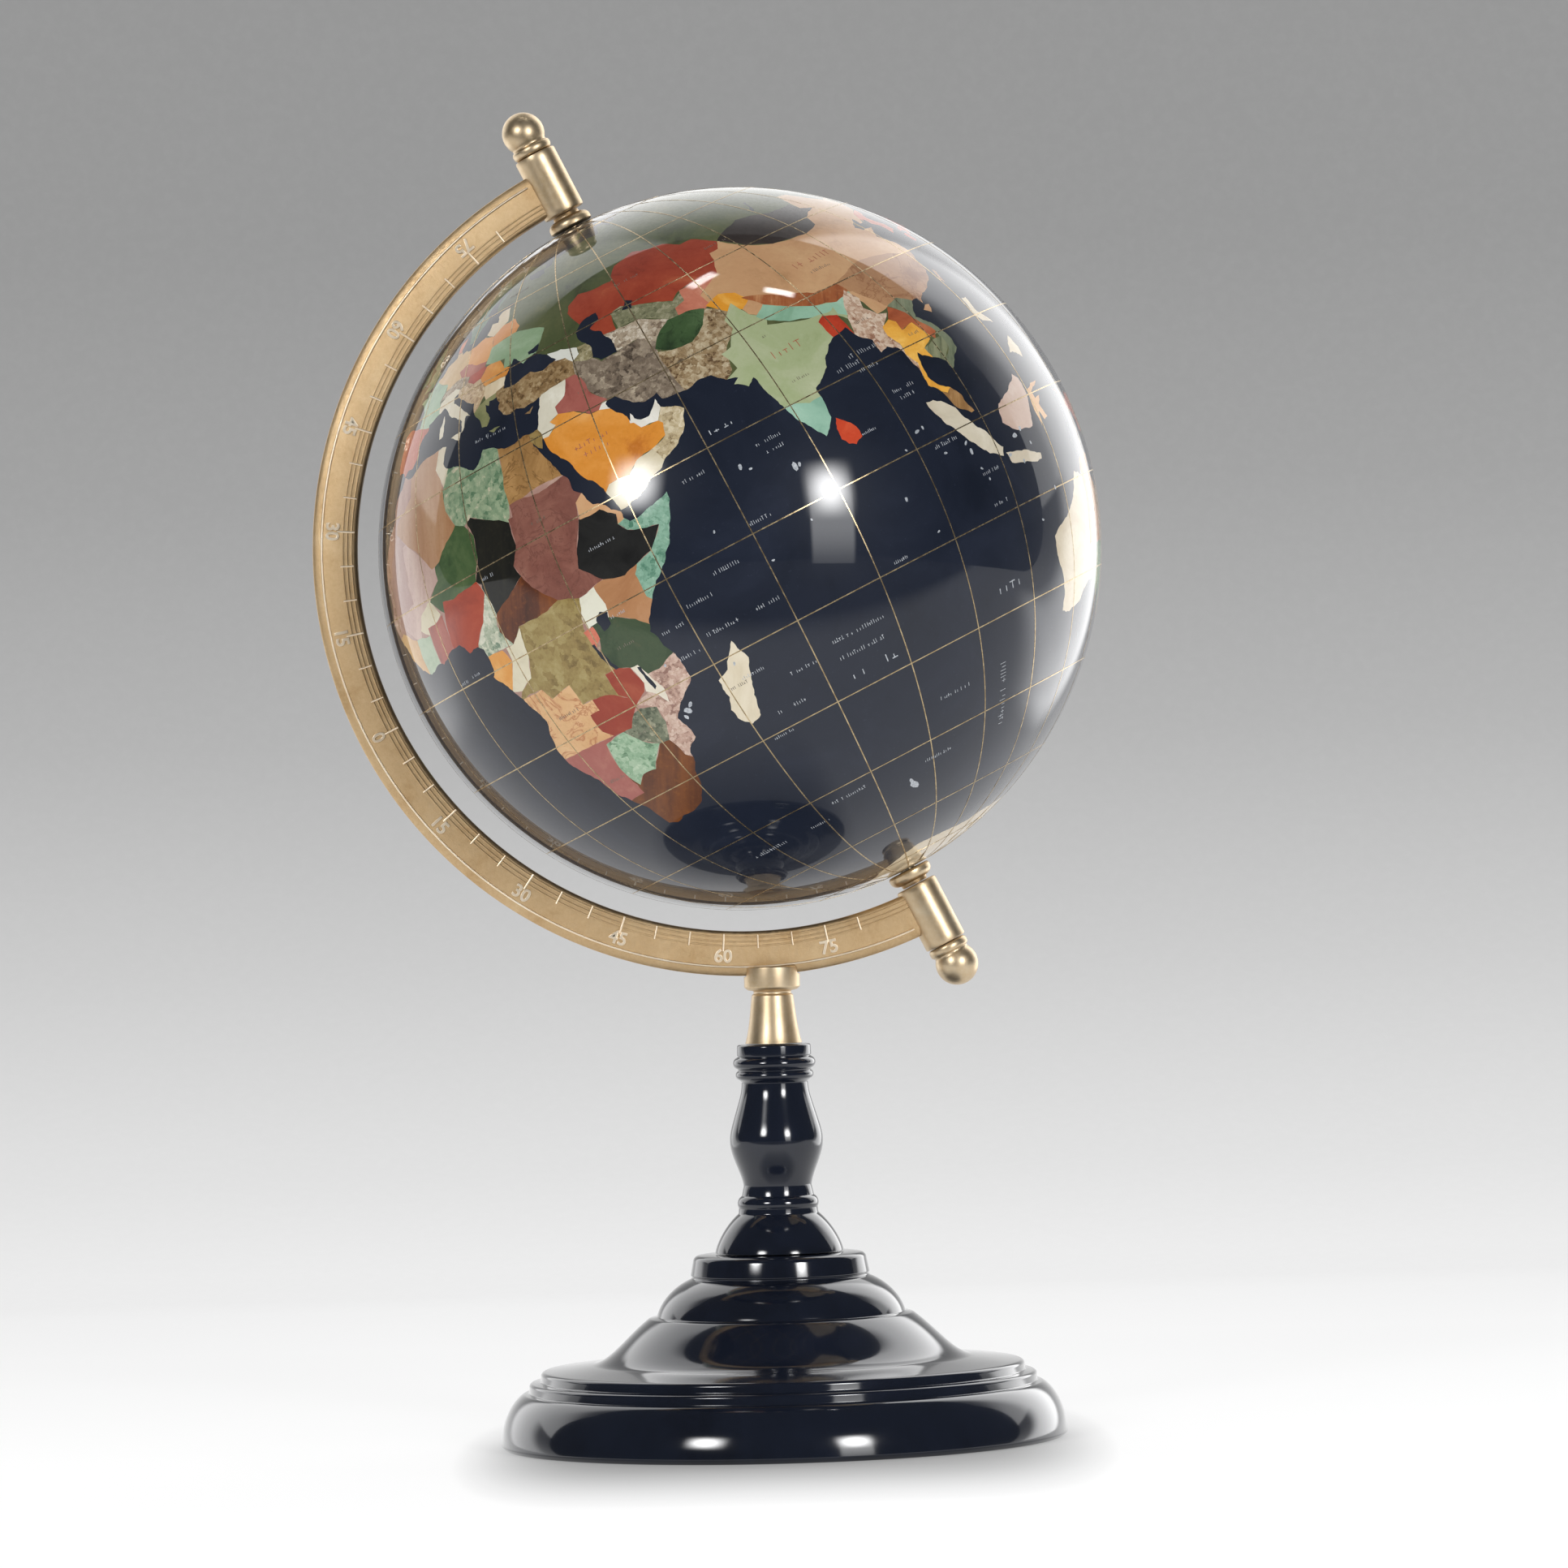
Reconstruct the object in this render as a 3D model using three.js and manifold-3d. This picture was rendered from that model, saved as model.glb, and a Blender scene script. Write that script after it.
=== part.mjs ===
// Inlaid stone world globe in a brass half-meridian, on a turned and lacquered stand.
// Millimetres, +Z up. The origin is the centre of the stand's underside, +X is to the
// right when the half-meridian is seen flat with its open side to the upper right.

import * as THREE from 'three';
import { mergeVertices } from 'three/addons/utils/BufferGeometryUtils.js';
import Module from 'manifold-3d';

const wasm = await Module();
wasm.setup();

// ---------------------------------------------------------------- driving sizes

const GAP = 0.3;               // clearance between neighbouring pieces

// globe and its axis
const GLOBE_R = 110;
const GLOBE_X = -6;            // the globe hangs slightly to one side of the stand
const GLOBE_Z = 272;
const TILT = 26;               // lean of the polar axis from the vertical, in XZ
const SOCKET_R = 2.9;          // blind bearing hole at each pole
const SOCKET_DEPTH = 8;
const GLOBE_SIDES = 40;
const GLOBE_RINGS = 20;

// half-meridian: a flat brass ring, kept on one side of the polar axis
const ARM_OUTER_R = 130;
const ARM_INNER_R = 116.5;
const ARM_HALF_DEPTH = 4;
const ARM_OUTER_BEVEL = 2.7;   // radial width of the bevel along the outer rim
const ARM_OUTER_DROP = 1.2;    // how far that bevel falls back in depth
const ARM_INNER_BEVEL = 0.9;
const ARM_SIDES = 84;          // for a full turn

// bearing sleeves at the ends of the half-meridian (distances along the axis)
const SLEEVE_R = 6.5;
const SLEEVE_FROM = 115.3;
const SLEEVE_TO = 135.2;
const SLEEVE_EDGE = 0.6;
const SLEEVE_SIDES = 20;

// pivots: a collar against the globe, a neck, and a pin into the pole
const COLLAR_R = 6.8;
const COLLAR_TO = 113.9;
const NECK_R = 4.3;
const PIN_R = 2.5;
const PIN_DEPTH = 7;           // reach below the globe's surface
const PIVOT_SIDES = 16;

// finials: a beaded band and a rounded knob
const BAND_R = 6.2;
const BAND_LENGTH = 2.8;
const KNOB_R = 6.5;
const KNOB_CENTRE = 142.45;
const KNOB_START = -33;        // angle where the knob's ball leaves the groove over the band
const FINIAL_SIDES = 16;

// ferrule between the column and the half-meridian
const FERRULE_FOOT_R = 8.7;
const FERRULE_WAIST_R = 6.3;
const FERRULE_GROOVE_R = 5.7;
const FERRULE_CAP_R = 8.5;
const FERRULE_BOTTOM = 121.3;
const FERRULE_WAIST = 136;
const FERRULE_CAP_FROM = 138.4;
const FERRULE_TOP = 144.8;
const FERRULE_SIDES = 24;

// turned column
const COLUMN_BOTTOM = 57.8;
const COLUMN_TOP = 121;
const COLUMN_FOOT_R = 19.6;
const COLUMN_CREASE_R = 12.2;
const COLUMN_CREASE = 69.6;
const COLUMN_COLLAR_R = 12.4;
const COLUMN_LOW_NECK_R = 10.4;
const COLUMN_LOW_NECK = 78;
const COLUMN_BELLY_R = 14.2;
const COLUMN_BELLY = 92.2;
const COLUMN_HIGH_NECK_R = 10.15;
const COLUMN_HIGH_NECK = 109.6;
const COLUMN_BEAD_R = 12.6;
const COLUMN_BEAD = 115.3;
const COLUMN_LOW_BEAD_R = 11.9;
const COLUMN_LOW_BEAD = 111.7;
const COLUMN_DISC_R = 11.35;
const COLUMN_SIDES = 28;

// turned base
const BASE_R = 86.4;
const BASE_RIM_RUN = 12;       // half axes of the rounded rim
const BASE_RIM_RISE = 18.2;
const BASE_RIM_END = 80;       // radius where the rounded rim stops
const BASE_STEP_R = 77.4;      // first step
const BASE_STEP_Z = 16.6;
const BASE_STEP2_R = 73.8;     // second step
const BASE_STEP2_Z = 20;
const BASE_DECK_OUT = 71.6;    // nearly flat deck
const BASE_DECK_OUT_Z = 23.3;
const BASE_DECK_IN = 58.5;
const BASE_DECK_IN_Z = 24.9;
const BASE_LEDGE_R = 40.3;
const BASE_LEDGE_Z = 38.5;
const BASE_BELL_R = 37.9;
const BASE_BELL_TOP_R = 27.2;
const BASE_BELL_TOP = 50.2;
const BASE_DISC_R = 27.3;
const BASE_TOP_R = 22;
const BASE_TOP = 57.5;
const BASE_SIDES = 44;

// ---------------------------------------------------------------- helpers

const rad = THREE.MathUtils.degToRad;

// Points on an elliptical arc in the (radius, height) plane, angles in degrees.
function arc(cr, cz, a, b, from, to, steps) {
  const points = [];
  for (let i = 0; i <= steps; i++) {
    const t = rad(from + ((to - from) * i) / steps);
    points.push([cr + a * Math.cos(t), cz + b * Math.sin(t)]);
  }
  return points;
}

// Points on a smooth S or hollow between two places, from a cubic curve.
function flow(p0, p1, p2, p3, steps) {
  const curve = new THREE.CubicBezierCurve(
    new THREE.Vector2(...p0), new THREE.Vector2(...p1),
    new THREE.Vector2(...p2), new THREE.Vector2(...p3));
  return curve.getPoints(steps).map((p) => [p.x, p.y]);
}

// One closed skin: shared corners merged, slivers dropped, faces turned outward.
function skin(geometry) {
  const plain = geometry.index ? geometry.toNonIndexed() : geometry.clone();
  for (const name of Object.keys(plain.attributes)) {
    if (name !== 'position') plain.deleteAttribute(name);
  }
  const merged = mergeVertices(plain, 1e-4);
  const pos = merged.attributes.position;
  const src = merged.index.array;
  const index = [];
  let volume = 0;
  const a = new THREE.Vector3(), b = new THREE.Vector3(), c = new THREE.Vector3();
  for (let i = 0; i < src.length; i += 3) {
    if (src[i] === src[i + 1] || src[i + 1] === src[i + 2] || src[i] === src[i + 2]) continue;
    index.push(src[i], src[i + 1], src[i + 2]);
    a.fromBufferAttribute(pos, src[i]);
    b.fromBufferAttribute(pos, src[i + 1]);
    c.fromBufferAttribute(pos, src[i + 2]);
    volume += a.dot(b.clone().cross(c));
  }
  if (volume < 0) {
    for (let i = 0; i < index.length; i += 3) {
      [index[i + 1], index[i + 2]] = [index[i + 2], index[i + 1]];
    }
  }
  merged.setIndex(index);
  return merged;
}

// A piece turned about the Z axis from a profile of [radius, height] pairs.
function turned(profile, sides) {
  const lathe = new THREE.LatheGeometry(profile.map(([r, z]) => new THREE.Vector2(r, z)), sides);
  lathe.rotateX(Math.PI / 2);
  return skin(lathe);
}

// A flat ring in the XZ plane from a closed section of [radius, depth] pairs.
function hoop(section, sides) {
  const loop = [...section, section[0]];
  return skin(new THREE.LatheGeometry(loop.map(([r, y]) => new THREE.Vector2(r, y)), sides));
}

function toSolid(geometry) {
  return new wasm.Manifold(new wasm.Mesh({
    numProp: 3,
    vertProperties: new Float32Array(geometry.attributes.position.array),
    triVerts: new Uint32Array(geometry.index.array),
  }));
}

function fromSolid(solid) {
  const mesh = solid.getMesh();
  const geometry = new THREE.BufferGeometry();
  geometry.setAttribute('position', new THREE.BufferAttribute(new Float32Array(mesh.vertProperties), 3));
  geometry.setIndex(new THREE.BufferAttribute(new Uint32Array(mesh.triVerts), 1));
  return geometry;
}

// Move a piece that was turned about Z onto the polar axis; flip = -1 is the lower end.
function onAxis(geometry, flip) {
  const turn = new THREE.Matrix4().makeRotationY(rad(-TILT) + (flip < 0 ? Math.PI : 0));
  return geometry.applyMatrix4(turn);
}

// ---------------------------------------------------------------- materials

const lacquer = new THREE.MeshStandardMaterial({ color: 0x141824, roughness: 0.1, metalness: 0.0 });
const brass = new THREE.MeshStandardMaterial({ color: 0xc6a56a, roughness: 0.35, metalness: 1.0 });
const stone = new THREE.MeshStandardMaterial({ color: 0x1c2135, roughness: 0.08, metalness: 0.0 });

// ---------------------------------------------------------------- stand

const rimEnd = THREE.MathUtils.radToDeg(Math.acos((BASE_RIM_END - (BASE_R - BASE_RIM_RUN)) / BASE_RIM_RUN));
const rim = arc(BASE_R - BASE_RIM_RUN, 0, BASE_RIM_RUN, BASE_RIM_RISE, 0, rimEnd, 5);
const baseProfile = [
  [0, 0],
  ...rim,
  [BASE_STEP_R + 1.8, BASE_STEP_Z],
  [BASE_STEP_R, BASE_STEP_Z + 0.3],
  [BASE_STEP_R - 0.1, BASE_STEP2_Z - 1],
  [BASE_STEP_R - 1.2, BASE_STEP2_Z - 0.1],
  [BASE_STEP2_R, BASE_STEP2_Z + 0.2],
  [BASE_STEP2_R - 0.1, BASE_DECK_OUT_Z - 1],
  [BASE_DECK_OUT, BASE_DECK_OUT_Z],
  ...flow([BASE_DECK_IN, BASE_DECK_IN_Z], [52.5, 25.4], [47.5, 33.2], [BASE_LEDGE_R, BASE_LEDGE_Z], 5),
  ...flow([BASE_BELL_R, BASE_LEDGE_Z + 0.4], [36.8, 43.4], [32.8, 47.9], [BASE_BELL_TOP_R, BASE_BELL_TOP], 4),
  [BASE_DISC_R, 51.2],
  [BASE_DISC_R - 0.8, 55.3],
  [BASE_DISC_R - 1.4, 56.5],
  [BASE_DISC_R - 2.6, 57.2],
  [BASE_TOP_R, BASE_TOP],
  [0, BASE_TOP],
];

const columnProfile = [
  [0, COLUMN_BOTTOM],
  ...flow([COLUMN_FOOT_R, COLUMN_BOTTOM], [19.0, 61.2], [16.0, 66.4], [COLUMN_CREASE_R, COLUMN_CREASE], 4),
  ...arc(COLUMN_COLLAR_R - 2.6, 72.6, 2.6, 2.7, -28, 62, 3),
  ...flow([COLUMN_LOW_NECK_R, COLUMN_LOW_NECK], [10.9, 82], [14, 86.4], [COLUMN_BELLY_R, COLUMN_BELLY - 1], 5),
  ...flow([COLUMN_BELLY_R, COLUMN_BELLY - 0.2], [COLUMN_BELLY_R, 93.8], [13.6, 95.8], [13, 97.8], 3),
  ...flow([11.1, 104], [10.5, 106], [10.2, 107.4], [COLUMN_HIGH_NECK_R, COLUMN_HIGH_NECK], 3),
  ...arc(COLUMN_LOW_BEAD_R - 1.4, COLUMN_LOW_BEAD, 1.4, 1.5, -60, 60, 2),
  ...arc(COLUMN_BEAD_R - 1.8, COLUMN_BEAD, 1.8, 1.9, -68, 68, 4),
  [COLUMN_DISC_R, 117.7],
  [COLUMN_DISC_R - 0.1, COLUMN_TOP - 0.4],
  [COLUMN_DISC_R - 0.5, COLUMN_TOP],
  [0, COLUMN_TOP],
];

const ferruleProfile = [
  [0, FERRULE_BOTTOM],
  ...flow([FERRULE_FOOT_R, FERRULE_BOTTOM], [7.5, 124.6], [7.0, 130], [FERRULE_WAIST_R, FERRULE_WAIST], 6),
  [FERRULE_GROOVE_R, FERRULE_WAIST + 0.4],
  [FERRULE_GROOVE_R, FERRULE_WAIST + 1.2],
  [FERRULE_CAP_R - 0.9, FERRULE_CAP_FROM - 0.8],
  [FERRULE_CAP_R, FERRULE_CAP_FROM],
  [FERRULE_CAP_R, FERRULE_TOP - 0.3],
  [FERRULE_CAP_R - 0.3, FERRULE_TOP],
  [0, FERRULE_TOP],
];

// ---------------------------------------------------------------- half-meridian

// Section of the ring, grown all round by `more` for the slot that seats it.
function armSection(more) {
  const d = ARM_HALF_DEPTH + more;
  const outer = ARM_OUTER_R + more;
  const inner = ARM_INNER_R - more;
  return [
    [inner, -(d - ARM_INNER_BEVEL)], [inner + ARM_INNER_BEVEL, -d],
    [outer - ARM_OUTER_BEVEL, -d], [outer, -(d - ARM_OUTER_DROP)],
    [outer, d - ARM_OUTER_DROP], [outer - ARM_OUTER_BEVEL, d],
    [inner + ARM_INNER_BEVEL, d], [inner, d - ARM_INNER_BEVEL],
  ];
}

const sleeveProfile = [
  [0, SLEEVE_FROM],
  [SLEEVE_R - SLEEVE_EDGE, SLEEVE_FROM],
  [SLEEVE_R, SLEEVE_FROM + SLEEVE_EDGE],
  [SLEEVE_R, SLEEVE_TO],
  [0, SLEEVE_TO],
];

const openSide = new THREE.BoxGeometry(2 * ARM_OUTER_R, 40, 4 * ARM_OUTER_R);
openSide.translate(ARM_OUTER_R, 0, 0);
const ringSolid = toSolid(hoop(armSection(0), ARM_SIDES));
const armSolid = ringSolid
  .subtract(toSolid(onAxis(skin(openSide), 1)))
  .add(toSolid(onAxis(turned(sleeveProfile, SLEEVE_SIDES), 1)))
  .add(toSolid(onAxis(turned(sleeveProfile, SLEEVE_SIDES), -1)));

const slot = hoop(armSection(GAP), ARM_SIDES).translate(GLOBE_X, 0, GLOBE_Z);
const ferruleSolid = toSolid(turned(ferruleProfile, FERRULE_SIDES)).subtract(toSolid(slot));

// ---------------------------------------------------------------- pivots, finials, globe

const pivotProfile = [
  [0, GLOBE_R - PIN_DEPTH],
  [PIN_R - 0.4, GLOBE_R - PIN_DEPTH],
  [PIN_R, GLOBE_R - PIN_DEPTH + 0.4],
  [PIN_R, GLOBE_R + GAP],
  [COLLAR_R - 0.5, GLOBE_R + GAP],
  [COLLAR_R, GLOBE_R + GAP + 0.6],
  ...arc(NECK_R, GLOBE_R + 1.6, COLLAR_R - NECK_R, COLLAR_TO - GLOBE_R - 1.6, 12, 90, 4),
  [NECK_R - 0.3, SLEEVE_FROM - GAP],
  [0, SLEEVE_FROM - GAP],
];

const bandFrom = SLEEVE_TO + GAP;
const finialProfile = [
  [0, bandFrom],
  [BAND_R - 0.5, bandFrom],
  ...arc(BAND_R - 0.6, bandFrom + BAND_LENGTH / 2, 0.6, BAND_LENGTH / 2 - 0.2, -60, 60, 2),
  [BAND_R - 0.8, bandFrom + BAND_LENGTH],
  ...arc(0, KNOB_CENTRE, KNOB_R, KNOB_R, KNOB_START, 80, 6),
  [0, KNOB_CENTRE + KNOB_R],
];

const poleCut = THREE.MathUtils.radToDeg(Math.acos(SOCKET_R / GLOBE_R));
const globeProfile = [
  [0, -(GLOBE_R - SOCKET_DEPTH)],
  [SOCKET_R, -(GLOBE_R - SOCKET_DEPTH)],
  ...arc(0, 0, GLOBE_R, GLOBE_R, -poleCut, poleCut, GLOBE_RINGS),
  [SOCKET_R, GLOBE_R - SOCKET_DEPTH],
  [0, GLOBE_R - SOCKET_DEPTH],
];

// ---------------------------------------------------------------- assembly

function piece(name, geometry, material) {
  const mesh = new THREE.Mesh(geometry, material);
  mesh.name = name;
  return mesh;
}

const stand = new THREE.Group();
stand.add(
  piece('base', turned(baseProfile, BASE_SIDES), lacquer),
  piece('column', turned(columnProfile, COLUMN_SIDES), lacquer),
  piece('ferrule', fromSolid(ferruleSolid), brass),
);

const cradle = new THREE.Group();
cradle.position.set(GLOBE_X, 0, GLOBE_Z);
cradle.add(
  piece('meridian_arm', fromSolid(armSolid), brass),
  piece('upper_pivot', onAxis(turned(pivotProfile, PIVOT_SIDES), 1), brass),
  piece('lower_pivot', onAxis(turned(pivotProfile, PIVOT_SIDES), -1), brass),
  piece('upper_finial', onAxis(turned(finialProfile, FINIAL_SIDES), 1), brass),
  piece('lower_finial', onAxis(turned(finialProfile, FINIAL_SIDES), -1), brass),
  piece('globe', onAxis(turned(globeProfile, GLOBE_SIDES), 1), stone),
);

const group = new THREE.Group();
group.add(stand, cradle);

export default group;
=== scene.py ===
"""Inlaid stone globe in a brass half-meridian, on a turned and lacquered stand.

Sizes are in millimetres in the helpers and turned into metres when a mesh is made.
"""
import math
import random

import bpy
import numpy as np
from mathutils import Matrix, Vector
from mathutils.geometry import delaunay_2d_cdt


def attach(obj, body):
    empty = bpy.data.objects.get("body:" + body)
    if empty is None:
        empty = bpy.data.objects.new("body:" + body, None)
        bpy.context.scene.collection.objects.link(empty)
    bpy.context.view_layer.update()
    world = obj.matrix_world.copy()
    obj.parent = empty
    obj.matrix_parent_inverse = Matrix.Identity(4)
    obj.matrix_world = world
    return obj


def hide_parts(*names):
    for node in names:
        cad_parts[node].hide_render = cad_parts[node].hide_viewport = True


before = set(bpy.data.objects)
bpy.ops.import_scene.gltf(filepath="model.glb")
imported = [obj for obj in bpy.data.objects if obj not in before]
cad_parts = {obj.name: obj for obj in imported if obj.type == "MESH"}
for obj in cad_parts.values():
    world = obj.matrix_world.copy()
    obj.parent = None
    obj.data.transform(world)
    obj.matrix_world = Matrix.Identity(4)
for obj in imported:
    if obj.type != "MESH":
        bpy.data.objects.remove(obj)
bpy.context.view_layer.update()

# ------------------------------------------------------------------ sizes, as in the construction
GLOBE_R, GLOBE_X, GLOBE_Z, TILT = 110.0, -6.0, 272.0, math.radians(26)
SOCKET_R, SOCKET_DEPTH = 2.9, 8.0
ARM_OUTER_R, ARM_INNER_R, ARM_HALF_DEPTH = 130.0, 116.5, 4.0
OUTER_BEVEL, OUTER_DROP, INNER_BEVEL = 2.7, 1.2, 0.9
SLEEVE_R, SLEEVE_FROM, SLEEVE_TO = 6.5, 115.3, 135.2
CENTRE = np.array([GLOBE_X, 0.0, GLOBE_Z])
AXIS = np.array([-math.sin(TILT), 0.0, math.cos(TILT)])        # to the upper pole
SIDE = np.array([math.cos(TILT), 0.0, math.sin(TILT)])         # square to it, away from the half-meridian
FRONT = np.array([0.0, -1.0, 0.0])
FACING = 57.63                                                 # meridian that faces the front at rest
STONE_DEPTH = 1.2


def arc(cr, cz, a, b, start, end, n=14):
    return [(cr + a * math.cos(t), cz + b * math.sin(t))
            for t in np.linspace(math.radians(start), math.radians(end), n)]


def flow(p0, p1, p2, p3, n=18):
    p = [np.array(q, float) for q in (p0, p1, p2, p3)]
    return [tuple((1 - t) ** 3 * p[0] + 3 * (1 - t) ** 2 * t * p[1] + 3 * (1 - t) * t * t * p[2] + t ** 3 * p[3])
            for t in np.linspace(0, 1, n)]


def make(name, verts, faces, mat, sharp=32.0, smooth=True):
    """A mesh object from millimetre points, shaded smooth but for edges over the given angle."""
    me = bpy.data.meshes.new(name)
    me.from_pydata([tuple(float(c) * 0.001 for c in v) for v in verts], [], [tuple(int(i) for i in f) for f in faces])
    me.validate()
    me.update()
    if smooth:
        me.shade_smooth()
        me.set_sharp_from_angle(angle=math.radians(sharp))
    me.materials.append(mat)
    ob = bpy.data.objects.new(name, me)
    bpy.context.scene.collection.objects.link(ob)
    return ob


def lathe_data(profile, origin=(0, 0, 0), axis=(0, 0, 1), side=(1, 0, 0), seg=128):
    """Closed turned body from (radius, height) points that start and end on the axis."""
    origin, axis, side = (np.array(q, float) for q in (origin, axis, side))
    other = np.cross(axis, side)
    verts, rings, faces = [], [], []
    for r, h in profile:
        if r < 1e-6:
            rings.append([len(verts)])
            verts.append(origin + axis * h)
        else:
            rings.append(list(range(len(verts), len(verts) + seg)))
            for k in range(seg):
                t = 2 * math.pi * k / seg
                verts.append(origin + axis * h + (side * math.cos(t) + other * math.sin(t)) * r)
    for a, b in zip(rings[:-1], rings[1:]):
        for k in range(seg):
            n = (k + 1) % seg
            if len(a) == 1 and len(b) > 1:
                faces.append((a[0], b[n], b[k]))
            elif len(b) == 1 and len(a) > 1:
                faces.append((a[k], a[n], b[0]))
            elif len(a) > 1:
                faces.append((a[k], a[n], b[n], b[k]))
    return verts, faces


def rounded(profile, radius=0.35, limit=24.0, n=4):
    """Eases the sharp corners of a turned profile, as polishing does."""
    out = [profile[0]]
    for p, q, r in zip(profile[:-2], profile[1:-1], profile[2:]):
        a, b, c = (np.array(v, float) for v in (p, q, r))
        u, v = a - b, c - b
        lu, lv = np.linalg.norm(u), np.linalg.norm(v)
        if lu < 1e-6 or lv < 1e-6:
            continue
        turn = 180 - math.degrees(math.acos(max(-1, min(1, float(u @ v / lu / lv)))))
        if turn < limit or q[0] < 0.5:
            out.append(q)
            continue
        d = min(radius, 0.42 * lu, 0.42 * lv)
        s, e = b + u / lu * d, b + v / lv * d
        for t in np.linspace(0, 1, n):
            out.append(tuple((1 - t) ** 2 * s + 2 * t * (1 - t) * b + t * t * e))
    out.append(profile[-1])
    return out


def add(parts):
    """Joins (verts, faces) pairs into one pair."""
    verts, faces = [], []
    for v, f in parts:
        k = len(verts)
        verts += list(v)
        faces += [tuple(i + k for i in g) for g in f]
    return verts, faces


def finish_piece(ob, body, slot, *nodes):
    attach(ob, body)
    if nodes:
        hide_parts(*nodes)
    return ob


# ------------------------------------------------------------------ materials
def srgb(r, g, b):
    def lin(c):
        c /= 255.0
        return c / 12.92 if c <= 0.04045 else ((c + 0.055) / 1.055) ** 2.4
    return (lin(r), lin(g), lin(b), 1.0)


class Mat:
    """Small helper around one material's nodes."""

    def __init__(self, name):
        self.m = bpy.data.materials.new(name)
        self.m.use_nodes = True
        self.t = self.m.node_tree
        self.b = self.t.nodes["Principled BSDF"]

    def node(self, kind, **sockets):
        n = self.t.nodes.new(kind)
        for k, v in sockets.items():
            if hasattr(n, k) and k not in n.inputs:
                setattr(n, k, v)
            else:
                n.inputs[k.replace("_", " ")].default_value = v
        return n

    def link(self, a, b):
        self.t.links.new(a, b)

    def set(self, **sockets):
        for k, v in sockets.items():
            self.b.inputs[k.replace("_", " ")].default_value = v

    def coords(self, scale=(1, 1, 1), move=(0, 0, 0), turn=(0, 0, 0)):
        c = self.node("ShaderNodeTexCoord")
        m = self.node("ShaderNodeMapping")
        m.inputs["Scale"].default_value = scale
        m.inputs["Location"].default_value = move
        m.inputs["Rotation"].default_value = turn
        self.link(c.outputs["Object"], m.inputs["Vector"])
        return m.outputs["Vector"]

    def noise(self, vec, scale, detail=4.0, rough=0.55, distort=0.0):
        n = self.node("ShaderNodeTexNoise")
        n.inputs["Scale"].default_value = scale
        n.inputs["Detail"].default_value = detail
        n.inputs["Roughness"].default_value = rough
        n.inputs["Distortion"].default_value = distort
        self.link(vec, n.inputs["Vector"])
        return n.outputs["Fac"]

    def ramp(self, fac, stops, ease="EASE"):
        r = self.node("ShaderNodeValToRGB")
        r.color_ramp.interpolation = ease
        e = r.color_ramp.elements
        while len(e) < len(stops):
            e.new(0.5)
        for el, (p, c) in zip(e, stops):
            el.position = p
            el.color = c
        self.link(fac, r.inputs["Fac"])
        return r.outputs["Color"]

    def mix(self, fac, a, b, kind="MIX"):
        n = self.node("ShaderNodeMix")
        n.data_type = "RGBA"
        n.blend_type = kind
        n.clamp_factor = True
        if isinstance(fac, float):
            n.inputs[0].default_value = fac
        else:
            self.link(fac, n.inputs[0])
        for sock, v in ((n.inputs[6], a), (n.inputs[7], b)):
            if isinstance(v, tuple):
                sock.default_value = v
            else:
                self.link(v, sock)
        return n.outputs[2]

    def math(self, op, a, b=None):
        n = self.node("ShaderNodeMath")
        n.operation = op
        for sock, v in zip(n.inputs, (a, b)):
            if v is None:
                continue
            if isinstance(v, (int, float)):
                sock.default_value = float(v)
            else:
                self.link(v, sock)
        return n.outputs[0]

    def bump(self, height, strength, distance=0.0002):
        n = self.node("ShaderNodeBump")
        n.inputs["Strength"].default_value = strength
        n.inputs["Distance"].default_value = distance
        self.link(height, n.inputs["Height"])
        self.link(n.outputs["Normal"], self.b.inputs["Normal"])
        return n


def grey(v):
    return (v, v, v, 1.0)


def lacquer_material():
    m = Mat("lacquer_blue_black")
    v = m.coords()
    cloud = m.noise(v, 26.0, 5.0, 0.6)
    grain = m.noise(m.coords(scale=(1, 1, 0.08)), 210.0, 3.0, 0.55, 0.6)
    base = m.ramp(cloud, [(0.32, srgb(16, 20, 30)), (0.52, srgb(21, 26, 38)), (0.72, srgb(27, 32, 46))])
    base = m.mix(m.ramp(grain, [(0.42, grey(0.0)), (0.8, grey(0.35))]), base, srgb(26, 31, 46))
    m.link(base, m.b.inputs["Base Color"])
    m.link(m.ramp(m.noise(v, 60.0, 4.0), [(0.3, grey(0.10)), (0.75, grey(0.17))]), m.b.inputs["Roughness"])
    m.set(Coat_Weight=1.0, Coat_Roughness=0.07, Coat_IOR=1.5, IOR=1.45, Specular_IOR_Level=0.15)
    m.bump(m.noise(v, 75.0, 2.0, 0.5), 0.05, 0.0004)
    return m.m


def brass_material(name, light, mid, dark, rough, cast):
    m = Mat(name)
    v = m.coords()
    blotch = m.noise(v, 85.0, 6.0, 0.62, 0.4)
    base = m.ramp(blotch, [(0.28, dark), (0.5, mid), (0.74, light)])
    fine = m.noise(v, 900.0, 3.0, 0.6)
    base = m.mix(m.ramp(fine, [(0.35, grey(0.0)), (0.75, grey(0.35))]), base, light)
    m.link(base, m.b.inputs["Base Color"])
    if cast:
        grain = m.noise(v, 1150.0, 5.0, 0.7)
        m.link(m.ramp(grain, [(0.3, grey(rough * 0.85)), (0.7, grey(rough * 1.3))]), m.b.inputs["Roughness"])
        m.bump(m.math("ADD", grain, m.math("MULTIPLY", m.noise(v, 330.0, 4.0), 1.4)), 0.32, 0.00022)
    else:
        lines = m.noise(v, 700.0, 4.0, 0.6)
        m.link(m.ramp(lines, [(0.3, grey(rough * 0.93)), (0.7, grey(rough * 1.08))]), m.b.inputs["Roughness"])
        m.bump(lines, 0.03, 0.00006)
    m.set(Metallic=1.0)
    return m.m


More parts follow.
